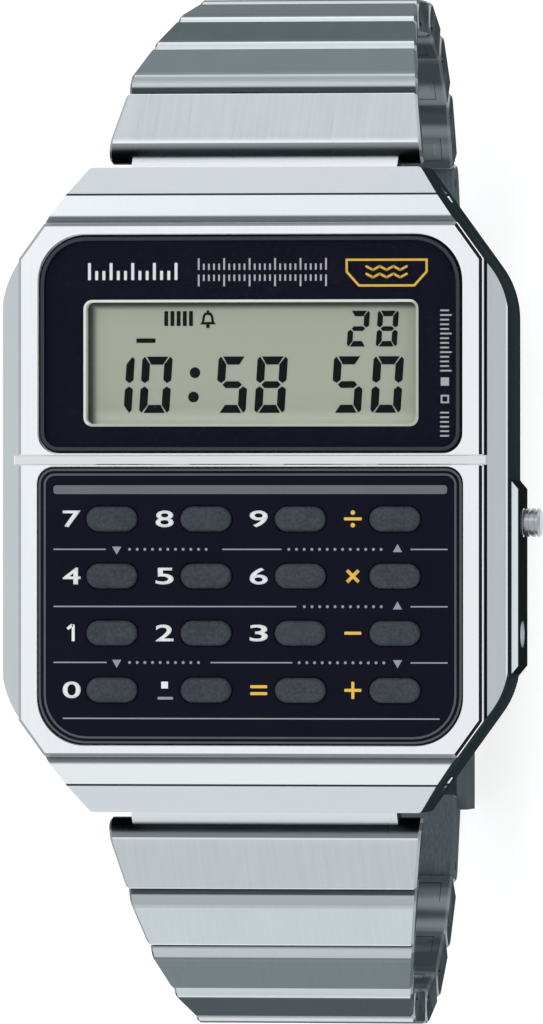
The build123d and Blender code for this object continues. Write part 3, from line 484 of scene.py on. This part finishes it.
for nodeName, node in cadNodes.items():
    if "_link_" in nodeName:
        made = linkSteel(nodeName + "Steel", *linkOf(nodeName))
    else:
        made = materials[slotOf[nodeName]]
    for place in node.material_slots:
        place.material = made
print("materials done")


def deselect():
    if bpy.context.object and bpy.context.object.mode != "OBJECT":
        bpy.ops.object.mode_set(mode="OBJECT")
    bpy.ops.object.select_all(action="DESELECT")


def settle(piece, name, ink, body="case"):
    # the place goes into the mesh, then the piece rides on its body
    deselect()
    piece.select_set(True)
    bpy.context.view_layer.objects.active = piece
    bpy.ops.object.transform_apply(location=True, rotation=True, scale=True)
    piece.name = name
    piece.data.materials.clear()
    piece.data.materials.append(ink)
    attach(piece, body)


def joined(pieces):
    deselect()
    for piece in pieces:
        piece.select_set(True)
    bpy.context.view_layer.objects.active = pieces[0]
    if len(pieces) > 1:
        bpy.ops.object.join()
    return bpy.context.view_layer.objects.active


def extrude(thick):
    bpy.ops.mesh.extrude_region_move(TRANSFORM_OT_translate={"value": (0, 0, thick)})


def thicken(thick):
    # the flat mesh in edit mode becomes a solid plate with its faces outward
    bpy.ops.mesh.select_all(action="SELECT")
    extrude(thick)
    bpy.ops.mesh.select_all(action="SELECT")
    bpy.ops.mesh.normals_make_consistent(inside=False)
    bpy.ops.object.mode_set(mode="OBJECT")


def cornered(points):
    # a filled circle whose corners are moved to the given points, in edit mode
    deselect()
    bpy.ops.mesh.primitive_circle_add(vertices=len(points), radius=mm, fill_type="NGON")
    shape = bpy.context.object
    for vertex, (x, y) in zip(shape.data.vertices, points):
        vertex.co = (x * mm, y * mm, 0)
    bpy.ops.object.mode_set(mode="EDIT")
    return shape


def flatShape(points, thick):
    # a flat plate of any outline
    plate = cornered(points)
    thicken(thick)
    return plate


def outline(points, rim, z, thick):
    # a closed stroke along the given corners
    shape = cornered(points)
    bpy.ops.mesh.select_mode(type="FACE")
    bpy.ops.mesh.select_all(action="SELECT")
    bpy.ops.mesh.normals_make_consistent(inside=False)
    bpy.ops.mesh.inset(thickness=rim * mm, depth=0)
    bpy.ops.mesh.delete(type="FACE")
    thicken(thick)
    shape.location = (0, 0, z)
    return shape


def roundRing(width, height, topRadius, lowRadius, rim, thick):
    # a flat ring with rounded corners, made from a plane at the middle
    deselect()
    bpy.ops.mesh.primitive_plane_add(size=1)
    ring = bpy.context.object
    ring.scale = (width * mm, height * mm, 1)
    bpy.ops.object.transform_apply(scale=True)
    for edge, radius in ((height / 2, topRadius), (-height / 2, lowRadius)):
        bpy.ops.object.mode_set(mode="EDIT")
        bpy.ops.mesh.select_all(action="DESELECT")
        bpy.ops.mesh.select_mode(type="VERT")
        bpy.ops.object.mode_set(mode="OBJECT")
        for vertex in ring.data.vertices:
            vertex.select = abs(vertex.co.y - edge * mm) < 1e-7
        bpy.ops.object.mode_set(mode="EDIT")
        bpy.ops.mesh.bevel(offset=radius * mm, segments=8, affect="VERTICES")
    bpy.ops.mesh.select_mode(type="FACE")
    bpy.ops.mesh.select_all(action="SELECT")
    bpy.ops.mesh.inset(thickness=rim * mm, depth=0)
    bpy.ops.mesh.delete(type="FACE")
    thicken(thick)
    return ring


def flatDisc(x, y, z, radius, thick, sides=20):
    deselect()
    bpy.ops.mesh.primitive_circle_add(vertices=sides, radius=radius * mm, fill_type="NGON",
                                      location=(x * mm, y * mm, z))
    disc = bpy.context.object
    bpy.ops.object.mode_set(mode="EDIT")
    extrude(thick)
    bpy.ops.object.mode_set(mode="OBJECT")
    return disc


def flatBar(x0, x1, y0, y1, z, thick, corner=0.0):
    deselect()
    bpy.ops.mesh.primitive_plane_add(size=1, location=((x0 + x1) / 2 * mm, (y0 + y1) / 2 * mm, z))
    bar = bpy.context.object
    bar.scale = (abs(x1 - x0) * mm, abs(y1 - y0) * mm, 1)
    bpy.ops.object.transform_apply(location=False, rotation=False, scale=True)
    bpy.ops.object.mode_set(mode="EDIT")
    bpy.ops.mesh.select_all(action="SELECT")
    if corner:
        bpy.ops.mesh.bevel(offset=corner * mm, segments=3, affect="VERTICES")
        bpy.ops.mesh.select_all(action="SELECT")
    extrude(thick)
    bpy.ops.object.mode_set(mode="OBJECT")
    return bar


def centredBar(x, y, wide, high, z, thick, corner=0.0):
    return flatBar(x - wide / 2, x + wide / 2, y - high / 2, y + high / 2, z, thick, corner)


# digits of the display, leaning a little, with a thin gap between their segments
segmentSets = {"0": "abcdef", "1": "bc", "2": "abged", "3": "abgcd", "4": "fgbc", "5": "afgcd",
               "6": "afgedc", "7": "abc", "8": "abcdefg", "9": "abcdfg"}
digitStyle = {"ink": (7, 9, 10), "lean": 0.064, "thick": 0.02 * mm}
digitRows = [
    {"text": "10", "left": -10.17, "low": 5.15, "high": 8.93, "wide": 2.05, "pitch": 2.57, "bar": 0.54},
    {"text": "58", "left": -2.42, "low": 5.15, "high": 8.93, "wide": 2.05, "pitch": 2.64, "bar": 0.54},
    {"text": "50", "left": 5.40, "low": 5.15, "high": 8.93, "wide": 2.05, "pitch": 2.68, "bar": 0.54},
    {"text": "28", "left": 6.45, "low": 9.58, "high": 11.98, "wide": 1.42, "pitch": 1.96, "bar": 0.37},
]


def segmentOutline(letter, row):
    # the corners of one segment about the digit's middle, by shares of the segment's width
    wide, high, bar = row["wide"] / 2, (row["high"] - row["low"]) / 2, row["bar"]
    if letter == "g":
        points = [(wide - 0.68 * bar, 0), (wide - 1.1 * bar, 0.42 * bar),
                  (1.1 * bar - wide, 0.42 * bar), (0.68 * bar - wide, 0),
                  (1.1 * bar - wide, -0.42 * bar), (wide - 1.1 * bar, -0.42 * bar)]
    elif letter in "ad":
        points = [(wide - 0.55 * bar, high), (0.55 * bar - wide, high),
                  (1.15 * bar - wide, high - bar), (wide - 1.15 * bar, high - bar)]
    else:
        points = [(wide - 0.5 * bar, 0.2 * bar), (wide, 0.55 * bar),
                  (wide, high - 0.35 * bar), (wide - 0.3 * bar, high - 0.02 * bar),
                  (wide - bar, high - 0.97 * bar), (wide - bar, 0.6 * bar)]
    across = -1 if letter in "ef" else 1
    up = -1 if letter in "cde" else 1
    return [(x * across + y * up * digitStyle["lean"], y * up) for x, y in points]


bars = []
for row in digitRows:
    middle = (row["low"] + row["high"]) / 2
    for place, digit in enumerate(row["text"]):
        centre = row["left"] + row["wide"] / 2 + place * row["pitch"]
        for letter in segmentSets[digit]:
            bar = flatShape(segmentOutline(letter, row), digitStyle["thick"])
            bar.location = (centre * mm, middle * mm, lcdFace)
            bars.append(bar)
settle(joined(bars), "displayDigits", printedInk("lcdInk", screen(*digitStyle["ink"])))

# colon, level bars and dash of the display
markStyle = {
    "ink": (12, 14, 15), "thick": 0.02 * mm, "colon": [(-3.92, 7.85), (-4.02, 6.22)], "dot": 0.36,
    "bars": 5, "left": -6.0, "pitch": 0.42, "wide": 0.26, "low": 10.98, "high": 11.98, "barCorner": 0.04,
    "dash": (-7.9, -6.6, 9.85, 10.15), "dashCorner": 0.06,
}
marks = [flatDisc(x, y, lcdFace, markStyle["dot"], markStyle["thick"]) for x, y in markStyle["colon"]]
for step in range(markStyle["bars"]):
    left = markStyle["left"] + step * markStyle["pitch"]
    marks.append(flatBar(left, left + markStyle["wide"], markStyle["low"], markStyle["high"], lcdFace,
                         markStyle["thick"], markStyle["barCorner"]))
marks.append(flatBar(*markStyle["dash"], lcdFace, markStyle["thick"], markStyle["dashCorner"]))
settle(joined(marks), "displayMarks", printedInk("lcdMarkInk", screen(*markStyle["ink"])))
print("display digits done")

# digits and operator signs, printed on the panel left of each key
legendStyle = {
    "white": (232, 234, 238), "gold": (232, 190, 80), "thick": 0.012 * mm, "stroke": 0.2, "corner": 0.05,
    "typeSize": 1.4, "weight": 0.02, "wide": 1.22, "high": 1.12, "oneCorner": 0.03, "flagTurn": 38,
    "flagLeft": 0.34, "flagRight": 0.1, "flagFoot": 0.3, "pointFoot": 0.1, "equalsGap": (-0.23, 0.23),
    "dividePoints": (-0.42, 0.42), "dividePoint": 0.15, "plusRise": 1.3, "merge": 0.000002,
}
legendColumns = [-12.08, -5.77, 0.61, 6.98]
legendRows = [-1.95, -5.78, -9.59, -13.41]
legendText = ["789÷", "456×", "123−", "0■=+"]
legendSizes = {"÷": (1.2, 1.15), "×": (0.95, 0.95), "−": (1.15, 0.2), "=": (1.15, 0.66), "+": (1.15, 1.15),
               "1": (0.62, 1.12), "■": (0.46, 0.46)}


def drawnLegend(symbol, x, y, wide, high):
    # the point, the figure one and the straight signs, from bars and discs
    thick, stroke, corner = legendStyle["thick"], legendStyle["stroke"], legendStyle["corner"]
    if symbol == "■":
        foot = y + legendStyle["pointFoot"]
        return [flatBar(x - wide / 2, x + wide / 2, foot, foot + high, padFace, thick)]
    if symbol == "1":
        foot = y + legendStyle["flagFoot"]
        stem = flatBar(x, x + stroke, y - high / 2, y + high / 2, padFace, thick, legendStyle["oneCorner"])
        flag = flatBar(x - legendStyle["flagLeft"], x + legendStyle["flagRight"], foot, foot + stroke,
                       padFace, thick, legendStyle["oneCorner"])
        flag.data.transform(Matrix.Rotation(radians(legendStyle["flagTurn"]), 4, "Z"))
        return [stem, flag]
    if symbol == "=":
        return [centredBar(x, y + k, wide, stroke, padFace, thick, corner) for k in legendStyle["equalsGap"]]
    parts = [centredBar(x, y, wide, stroke, padFace, thick, corner)]
    if symbol == "+":
        parts.append(centredBar(x, y, stroke, high, padFace, thick * legendStyle["plusRise"], corner))
    if symbol == "÷":
        parts += [flatDisc(x, y + k, padFace, legendStyle["dividePoint"], thick)
                  for k in legendStyle["dividePoints"]]
    return parts


def typedLegend(symbol, x, y, wide, high):
    # the other figures, from type that is centred, sized and raised
    deselect()
    bpy.ops.object.text_add()
    text = bpy.context.object
    text.data.body = symbol
    text.data.size = legendStyle["typeSize"] * mm
    text.data.offset = legendStyle["weight"] * mm
    bpy.ops.object.convert(target="MESH")
    text = bpy.context.object
    corners = [v.co.copy() for v in text.data.vertices]
    low = Vector((min(c.x for c in corners), min(c.y for c in corners), 0))
    top = Vector((max(c.x for c in corners), max(c.y for c in corners), 0))
    text.data.transform(Matrix.Translation(-(low + top) / 2))
    text.data.transform(Matrix.Diagonal((wide * mm / (top.x - low.x), high * mm / (top.y - low.y), 1, 1)))
    bpy.ops.object.mode_set(mode="EDIT")
    bpy.ops.mesh.select_all(action="SELECT")
    bpy.ops.mesh.remove_doubles(threshold=legendStyle["merge"])
    extrude(legendStyle["thick"])
    bpy.ops.object.mode_set(mode="OBJECT")
    text.location = (x * mm, y * mm, padFace)
    return [text]


whiteLegends, goldLegends = [], []
for y, symbols in zip(legendRows, legendText):
    for x, symbol in zip(legendColumns, symbols):
        make = drawnLegend if symbol in "■1−=+÷" else typedLegend
        wide, high = legendSizes.get(symbol, (legendStyle["wide"], legendStyle["high"]))
        made = joined(make(symbol, x, y, wide, high))
        (goldLegends if symbol in "÷×−=+" else whiteLegends).append(made)
settle(joined(whiteLegends), "keyDigits", printedInk("whiteInk", screen(*legendStyle["white"])))
settle(joined(goldLegends), "keyOperators", printedInk("goldInk", screen(*legendStyle["gold"])))

# grey lines and arrows between the rows of keys
lineStyle = {"tone": (150, 152, 158), "width": 0.09, "thick": 0.012 * mm, "arrow": 0.36}
lineRows = [
    (-3.99, [(-13.32, -9.77), (-1.85, 2.15), (10.88, 13.38)]),
    (-7.82, [(-13.32, 3.16), (10.88, 13.38)]),
    (-11.57, [(-13.32, -9.70), (-2.66, 2.89), (10.88, 13.38)]),
    (-15.32, [(-12.68, 12.84)]),
]
arrows = [(-9.02, -3.99, 180), (-9.02, -11.57, 180), (10.0, -3.99, 0), (10.0, -7.82, 0), (10.0, -11.57, 180)]
lines = []
for y, spans in lineRows:
    for x0, x1 in spans:
        lines.append(flatBar(x0, x1, y - lineStyle["width"] / 2, y + lineStyle["width"] / 2, padFace,
                             lineStyle["thick"]))
for x, y, turn in arrows:
    arrow = flatDisc(x, y, padFace, lineStyle["arrow"], lineStyle["thick"], 3)
    arrow.data.transform(Matrix.Rotation(radians(turn), 4, "Z"))
    lines.append(arrow)
settle(joined(lines), "panelLines", printedInk("greyInk", screen(*lineStyle["tone"])))
print("panel print done")

# rows of dots in the grey lines, and a short dash under the point key's mark
dotStyle = {"tone": (150, 152, 158), "radius": 0.1, "sides": 10, "pitch": 0.52, "thick": 0.012 * mm,
            "dash": (-6.25, -5.2, -14.05, -13.87), "dashCorner": 0.05}
dotRows = [(-3.99, -8.15, -2.45), (-3.99, 2.65, 9.35), (-7.82, 3.70, 9.35), (-11.57, -8.15, -3.20),
           (-11.57, 3.35, 9.35)]
dots = []
for y, x0, x1 in dotRows:
    for step in range(int((x1 - x0) / dotStyle["pitch"]) + 1):
        x = x0 + step * dotStyle["pitch"]
        dots.append(flatDisc(x, y, padFace, dotStyle["radius"], dotStyle["thick"], dotStyle["sides"]))
dots.append(flatBar(*dotStyle["dash"], padFace, dotStyle["thick"], dotStyle["dashCorner"]))
settle(joined(dots), "panelDots", printedInk("dotInk", screen(*dotStyle["tone"])))

# white scale over the display, with a long stroke at every third place
scaleStyle = {"tone": (226, 228, 232), "thick": 0.012 * mm, "count": 13, "left": -10.94, "pitch": 0.49,
              "half": 0.1, "foot": 14.05, "every": 3, "long": 1.15, "short": 0.62, "corner": 0.04}
scale = []
for step in range(scaleStyle["count"]):
    x = scaleStyle["left"] + step * scaleStyle["pitch"]
    rise = scaleStyle["short"] if step % scaleStyle["every"] else scaleStyle["long"]
    scale.append(flatBar(x - scaleStyle["half"], x + scaleStyle["half"], scaleStyle["foot"],
                         scaleStyle["foot"] + rise, maskFace, scaleStyle["thick"], scaleStyle["corner"]))
settle(joined(scale), "panelScale", printedInk("scaleInk", screen(*scaleStyle["tone"])))

# fine double scale over the display, and beside it two columns of dashes, a square and an open square
tickStyle = {
    "tone": (176, 178, 184), "thick": 0.012 * mm, "count": 26, "left": -3.52, "pitch": 0.345, "half": 0.06,
    "every": 5, "long": 0.78, "short": 0.42, "upperFoot": 14.72, "lowerTop": 14.40,
    "dashLeft": 12.82, "dashRight": 13.42, "dashLong": 13.6, "dashPitch": 0.31, "dashHalf": 0.055,
    "columns": [(14, 7.95, (0, 4, 8, 12)), (6, 3.60, ())],  # how many, from where, which are long
    "square": (12.86, 13.42, 6.95, 7.50), "open": (12.86, 13.42, 5.78, 6.34), "openRim": 0.11,
}
ticks = []
for step in range(tickStyle["count"]):
    x = tickStyle["left"] + step * tickStyle["pitch"]
    x0, x1 = x - tickStyle["half"], x + tickStyle["half"]
    tall = tickStyle["short"] if step % tickStyle["every"] else tickStyle["long"]
    foot, top = tickStyle["upperFoot"], tickStyle["lowerTop"]
    ticks.append(flatBar(x0, x1, foot, foot + tall, maskFace, tickStyle["thick"]))
    ticks.append(flatBar(x0, x1, top - tall, top, maskFace, tickStyle["thick"]))
for count, start, longSteps in tickStyle["columns"]:
    for step in range(count):
        y = start + step * tickStyle["dashPitch"]
        y0, y1 = y - tickStyle["dashHalf"], y + tickStyle["dashHalf"]
        right = tickStyle["dashLong"] if step in longSteps else tickStyle["dashRight"]
        ticks.append(flatBar(tickStyle["dashLeft"], right, y0, y1, maskFace, tickStyle["thick"]))
ticks.append(flatBar(*tickStyle["square"], maskFace, tickStyle["thick"]))
x0, x1, y0, y1 = tickStyle["open"]
openCorners = [(x0, y0), (x1, y0), (x1, y1), (x0, y1)]
ticks.append(outline(openCorners, tickStyle["openRim"], maskFace, tickStyle["thick"]))
settle(joined(ticks), "panelTicks", printedInk("tickInk", screen(*tickStyle["tone"])))

# gold badge: an outline with two short wavy lines
badgeStyle = {
    "tone": (226, 184, 74), "thick": 0.012 * mm, "stroke": 0.15,
    "shape": [(6.43, 15.45), (11.98, 15.45), (11.98, 14.55), (11.1, 13.58), (7.3, 13.58), (6.43, 14.55)],
    "waves": (14.82, 14.32), "pieces": 6, "left": 7.75, "right": 8.35, "pitch": 0.46, "half": 0.075,
    "corner": 0.03, "turn": 28,
}
badge = [outline(badgeStyle["shape"], badgeStyle["stroke"], maskFace, badgeStyle["thick"])]
for y in badgeStyle["waves"]:
    for step in range(badgeStyle["pieces"]):
        shift = step * badgeStyle["pitch"]
        bar = flatBar(badgeStyle["left"] + shift, badgeStyle["right"] + shift, y - badgeStyle["half"],
                      y + badgeStyle["half"], maskFace, badgeStyle["thick"], badgeStyle["corner"])
        turn = badgeStyle["turn"] if step % 2 else -badgeStyle["turn"]
        bar.data.transform(Matrix.Rotation(radians(turn), 4, "Z"))
        badge.append(bar)
settle(joined(badge), "panelBadge", printedInk("badgeInk", screen(*badgeStyle["tone"])))
print("panel marks done")

# edge of the opening over the display, lit above a slanting line and dimmer below it
edgeStyle = {"lit": screen(226, 229, 224), "dim": screen(186, 190, 180), "slant": 0.374, "from": 0.00849,
             "wide": 22.7, "high": 8.49, "corner": 0.6, "rim": 0.17, "middle": 8.485}
edgeInk, edgeShader, place = startMaterial("displayEdge", Roughness=0.4)
x, y, _ = place.axes()
lit = (y - x * edgeStyle["slant"] > edgeStyle["from"]).rise(0.0, 1.0)
fine = place.noise(4000, 3.0)
plug(edgeShader, "Base Color", lit.blend(edgeStyle["dim"], edgeStyle["lit"]))
plug(edgeShader, "Roughness", fine * 0.12 + 0.34)
edgeRing = roundRing(edgeStyle["wide"], edgeStyle["high"], edgeStyle["corner"], edgeStyle["corner"],
                     edgeStyle["rim"], maskFace - lcdFace)
edgeRing.location = (0, edgeStyle["middle"] * mm, lcdFace)
settle(edgeRing, "displayEdge", edgeInk)

# thin sheet that closes each link's hollow on the wrist side, with a low raised field
linerStyle = {"low": -0.66, "thick": 0.08, "rib": 0.05, "margin": 0.4, "ramp": 0.1, "firstSpan": (4.08, 7.32),
              "span": (1.58, 3.37), "startWidth": 21.4, "taper": 1.6, "least": 15.2, "side": 1.48}
for nodeName in sorted(cadNodes):
    if "_link_" not in nodeName:
        continue
    half, step = linkOf(nodeName)
    turn, slope = linkPlan[half]["turn"], radians(linkPlan[half]["slopes"][step])
    start, stop = linerStyle["firstSpan"] if step == 0 else linerStyle["span"]
    linkWidth = max(linerStyle["startWidth"] - (step + 1) * linerStyle["taper"], linerStyle["least"])
    deselect()
    bpy.ops.mesh.primitive_cube_add(size=1)
    sheet = bpy.context.object
    sheet.scale = ((linkWidth - linerStyle["side"]) * mm, (stop - start) * mm, linerStyle["thick"] * mm)
    bpy.ops.object.transform_apply(scale=True)
    bpy.ops.object.mode_set(mode="EDIT")
    bpy.ops.mesh.select_mode(type="FACE")
    bpy.ops.mesh.select_all(action="DESELECT")
    bpy.ops.object.mode_set(mode="OBJECT")
    for face in sheet.data.polygons:
        face.select = face.normal.z < -0.9
    bpy.ops.object.mode_set(mode="EDIT")
    bpy.ops.mesh.inset(thickness=linerStyle["margin"] * mm, depth=0)
    bpy.ops.mesh.inset(thickness=linerStyle["ramp"] * mm, depth=-linerStyle["rib"] * mm)
    bpy.ops.object.mode_set(mode="OBJECT")
    onward = Vector((0, turn * cos(slope), -sin(slope)))
    outward = Vector((0, turn * sin(slope), cos(slope)))
    away, tall = linkRoots[half][step]
    root = Vector((0, away * mm, tall * mm))
    level = linerStyle["low"] + linerStyle["thick"] / 2
    middle = root + onward * (start + stop) / 2 * mm + outward * level * mm
    turned = Matrix((onward.cross(outward), onward, outward)).transposed().to_4x4()
    sheet.matrix_world = Matrix.Translation(middle) @ turned
    steel = cadNodes[nodeName].material_slots[0].material
    settle(sheet, nodeName.replace("_link_", "Liner"), steel, nodeName)
print("liners done")

# bell of the display: an outline, its clapper and its crown
bellStyle = {
    "ink": (10, 12, 13), "thick": 0.02 * mm, "place": (-3.04, 11.08), "line": 0.16, "size": 1.2,
    "shape": [(-0.46, 0), (-0.34, 0.14), (-0.30, 0.46), (-0.18, 0.66),
              (0.18, 0.66), (0.30, 0.46), (0.34, 0.14), (0.46, 0)],
    "clapper": (-0.12, 0.13), "crown": (0.86, 0.1),
}
bellX, bellY = bellStyle["place"]
bellPoints = [(bellX + x * bellStyle["size"], bellY + y * bellStyle["size"])
              for x, y in reversed(bellStyle["shape"])]
bell = [outline(bellPoints, bellStyle["line"], lcdFace, bellStyle["thick"])]
for up, radius in (bellStyle["clapper"], bellStyle["crown"]):
    bell.append(flatDisc(bellX, bellY + up, lcdFace, radius, bellStyle["thick"]))
settle(joined(bell), "displayBell", printedInk("bellInk", screen(*bellStyle["ink"])))

# rims of the two windows, and the bar over the keys
rimStyle = {"tone": (52, 55, 62), "wide": 28.38, "high": 14.32, "topRound": 3.06, "lowRound": 1.2,
            "rim": 0.24, "thick": 0.03 * mm, "middle": 9.775}
rimInk = plainPolish("rimCharcoal", screen(*rimStyle["tone"]), rough=0.25, grain=2500, relief=0.03,
                     shine=0.15)
displayRim = roundRing(rimStyle["wide"], rimStyle["high"], rimStyle["topRound"], rimStyle["lowRound"],
                       rimStyle["rim"], rimStyle["thick"])
displayRim.location = (0, rimStyle["middle"] * mm, glassFace)
settle(displayRim, "displayRim", rimInk)
padStyle = {
    "tone": (82, 86, 92), "barTone": (98, 103, 109), "rim": 0.14, "thick": 0.05 * mm, "middle": -7.795,
    "rings": {"keypadRim": (28.66, 18.4, 1.05, 3.2), "keypadInnerRim": (27.96, 17.76, 0.75, 2.9)},
    "bar": (-13.32, 13.35, -0.29, 0.3), "barCorner": 0.2,
}
padInk = plainPolish("padRimGrey", screen(*padStyle["tone"]), rough=0.25, grain=2500, relief=0.03, shine=0.15)
for name, (wide, high, topRound, lowRound) in padStyle["rings"].items():
    padRim = roundRing(wide, high, topRound, lowRound, padStyle["rim"], padStyle["thick"])
    padRim.location = (0, padStyle["middle"] * mm, padFace)
    settle(padRim, name, padInk)
padBar = flatBar(*padStyle["bar"], padFace, padStyle["thick"], padStyle["barCorner"])
barInk = plainPolish("barGrey", screen(*padStyle["barTone"]), rough=0.3, grain=2500, relief=0.04, shine=0.3)
settle(padBar, "keypadBar", barInk)
print("rims done")

# floor, light and camera
floorStyle = {"size": 3.0, "level": -0.00005, "tone": (0.82, 0.82, 0.82), "lift": 0.42}
deselect()
bpy.ops.mesh.primitive_plane_add(size=floorStyle["size"], location=(0, 0, floorStyle["level"]))
bpy.ops.object.transform_apply(location=True, rotation=False, scale=False)
floor = bpy.context.object
floor.name = "studioFloor"
floorPaint = bpy.data.materials.new("studioFloorPaint")
floorPaint.use_nodes = True
tree = floorPaint.node_tree
tree.nodes.clear()
rays = tree.nodes.new("ShaderNodeLightPath").outputs
rayKinds = ("Camera", "Glossy", "Transmission")
path, glossy, through = [Wire(tree, rays["Is " + kind + " Ray"]) for kind in rayKinds]
seen = path.most(glossy.most(through))
paint = path.node("ShaderNodeBsdfDiffuse", None, {"Color": (*floorStyle["tone"], 1)})
glow = path.node("ShaderNodeEmission", None, {"Color": (1, 1, 1, 1), "Strength": seen * floorStyle["lift"]})
both = path.node("ShaderNodeAddShader", None, {0: paint, 1: glow})
output = tree.nodes.new("ShaderNodeOutputMaterial")
tree.links.new(both.socket, output.inputs["Surface"])
floor.data.materials.append(floorPaint)

# the world is a soft studio, a little darker near the ground
skyStops = [(0.0, (0.72, 0.73, 0.74)), (0.12, (0.86, 0.865, 0.87)), (0.5, (0.92, 0.92, 0.92)),
            (1.0, (0.94, 0.94, 0.94))]
world = bpy.data.worlds.new("studio")
bpy.context.scene.world = world
world.use_nodes = True
sky = world.node_tree.nodes["Background"]
direction = Wire(world.node_tree, world.node_tree.nodes.new("ShaderNodeTexCoord").outputs["Generated"])
height = direction.axes()[2]
plug(sky, "Color", height.node("ShaderNodeValToRGB", {"stops": skyStops}, {0: height}))
sky.inputs["Strength"].default_value = 1.0

lampAim = Vector((0, 0, 0.03))
lamps = [
    {"name": "keyBox", "place": (-0.35, 0.30, 0.65), "size": 0.6, "power": 0.8},
    {"name": "fillBox", "place": (0.55, -0.35, 0.45), "size": 0.6, "power": 0.4},
]
for lamp in lamps:
    deselect()
    bpy.ops.object.light_add(type="AREA", location=lamp["place"])
    light = bpy.context.object
    light.name = lamp["name"]
    light.data.size = lamp["size"]
    light.data.energy = lamp["power"]
    light.rotation_euler = (lampAim - Vector(lamp["place"])).to_track_quat("-Z", "Y").to_euler()

cameraStyle = {"turn": 8.92, "reach": 1.0, "aim": (1.50, -1.49), "tall": 68.49, "sensor": 36}
side = radians(cameraStyle["turn"])
toCamera = Vector((sin(side), 0, cos(side)))
aim = Vector((cameraStyle["aim"][0] * mm, cameraStyle["aim"][1] * mm, dialFace))
deselect()
bpy.ops.object.camera_add(location=aim + toCamera * cameraStyle["reach"])
camera = bpy.context.object
back = toCamera.normalized()
right = Vector((0, 1, 0)).cross(back).normalized()
up = back.cross(right)
camera.rotation_euler = Matrix((right, up, back)).transposed().to_euler()
camera.data.sensor_width = cameraStyle["sensor"]
camera.data.lens = cameraStyle["sensor"] * cameraStyle["reach"] / (cameraStyle["tall"] * mm)
bpy.context.scene.camera = camera
bpy.context.scene.view_settings.view_transform = "Standard"
print("stage done")
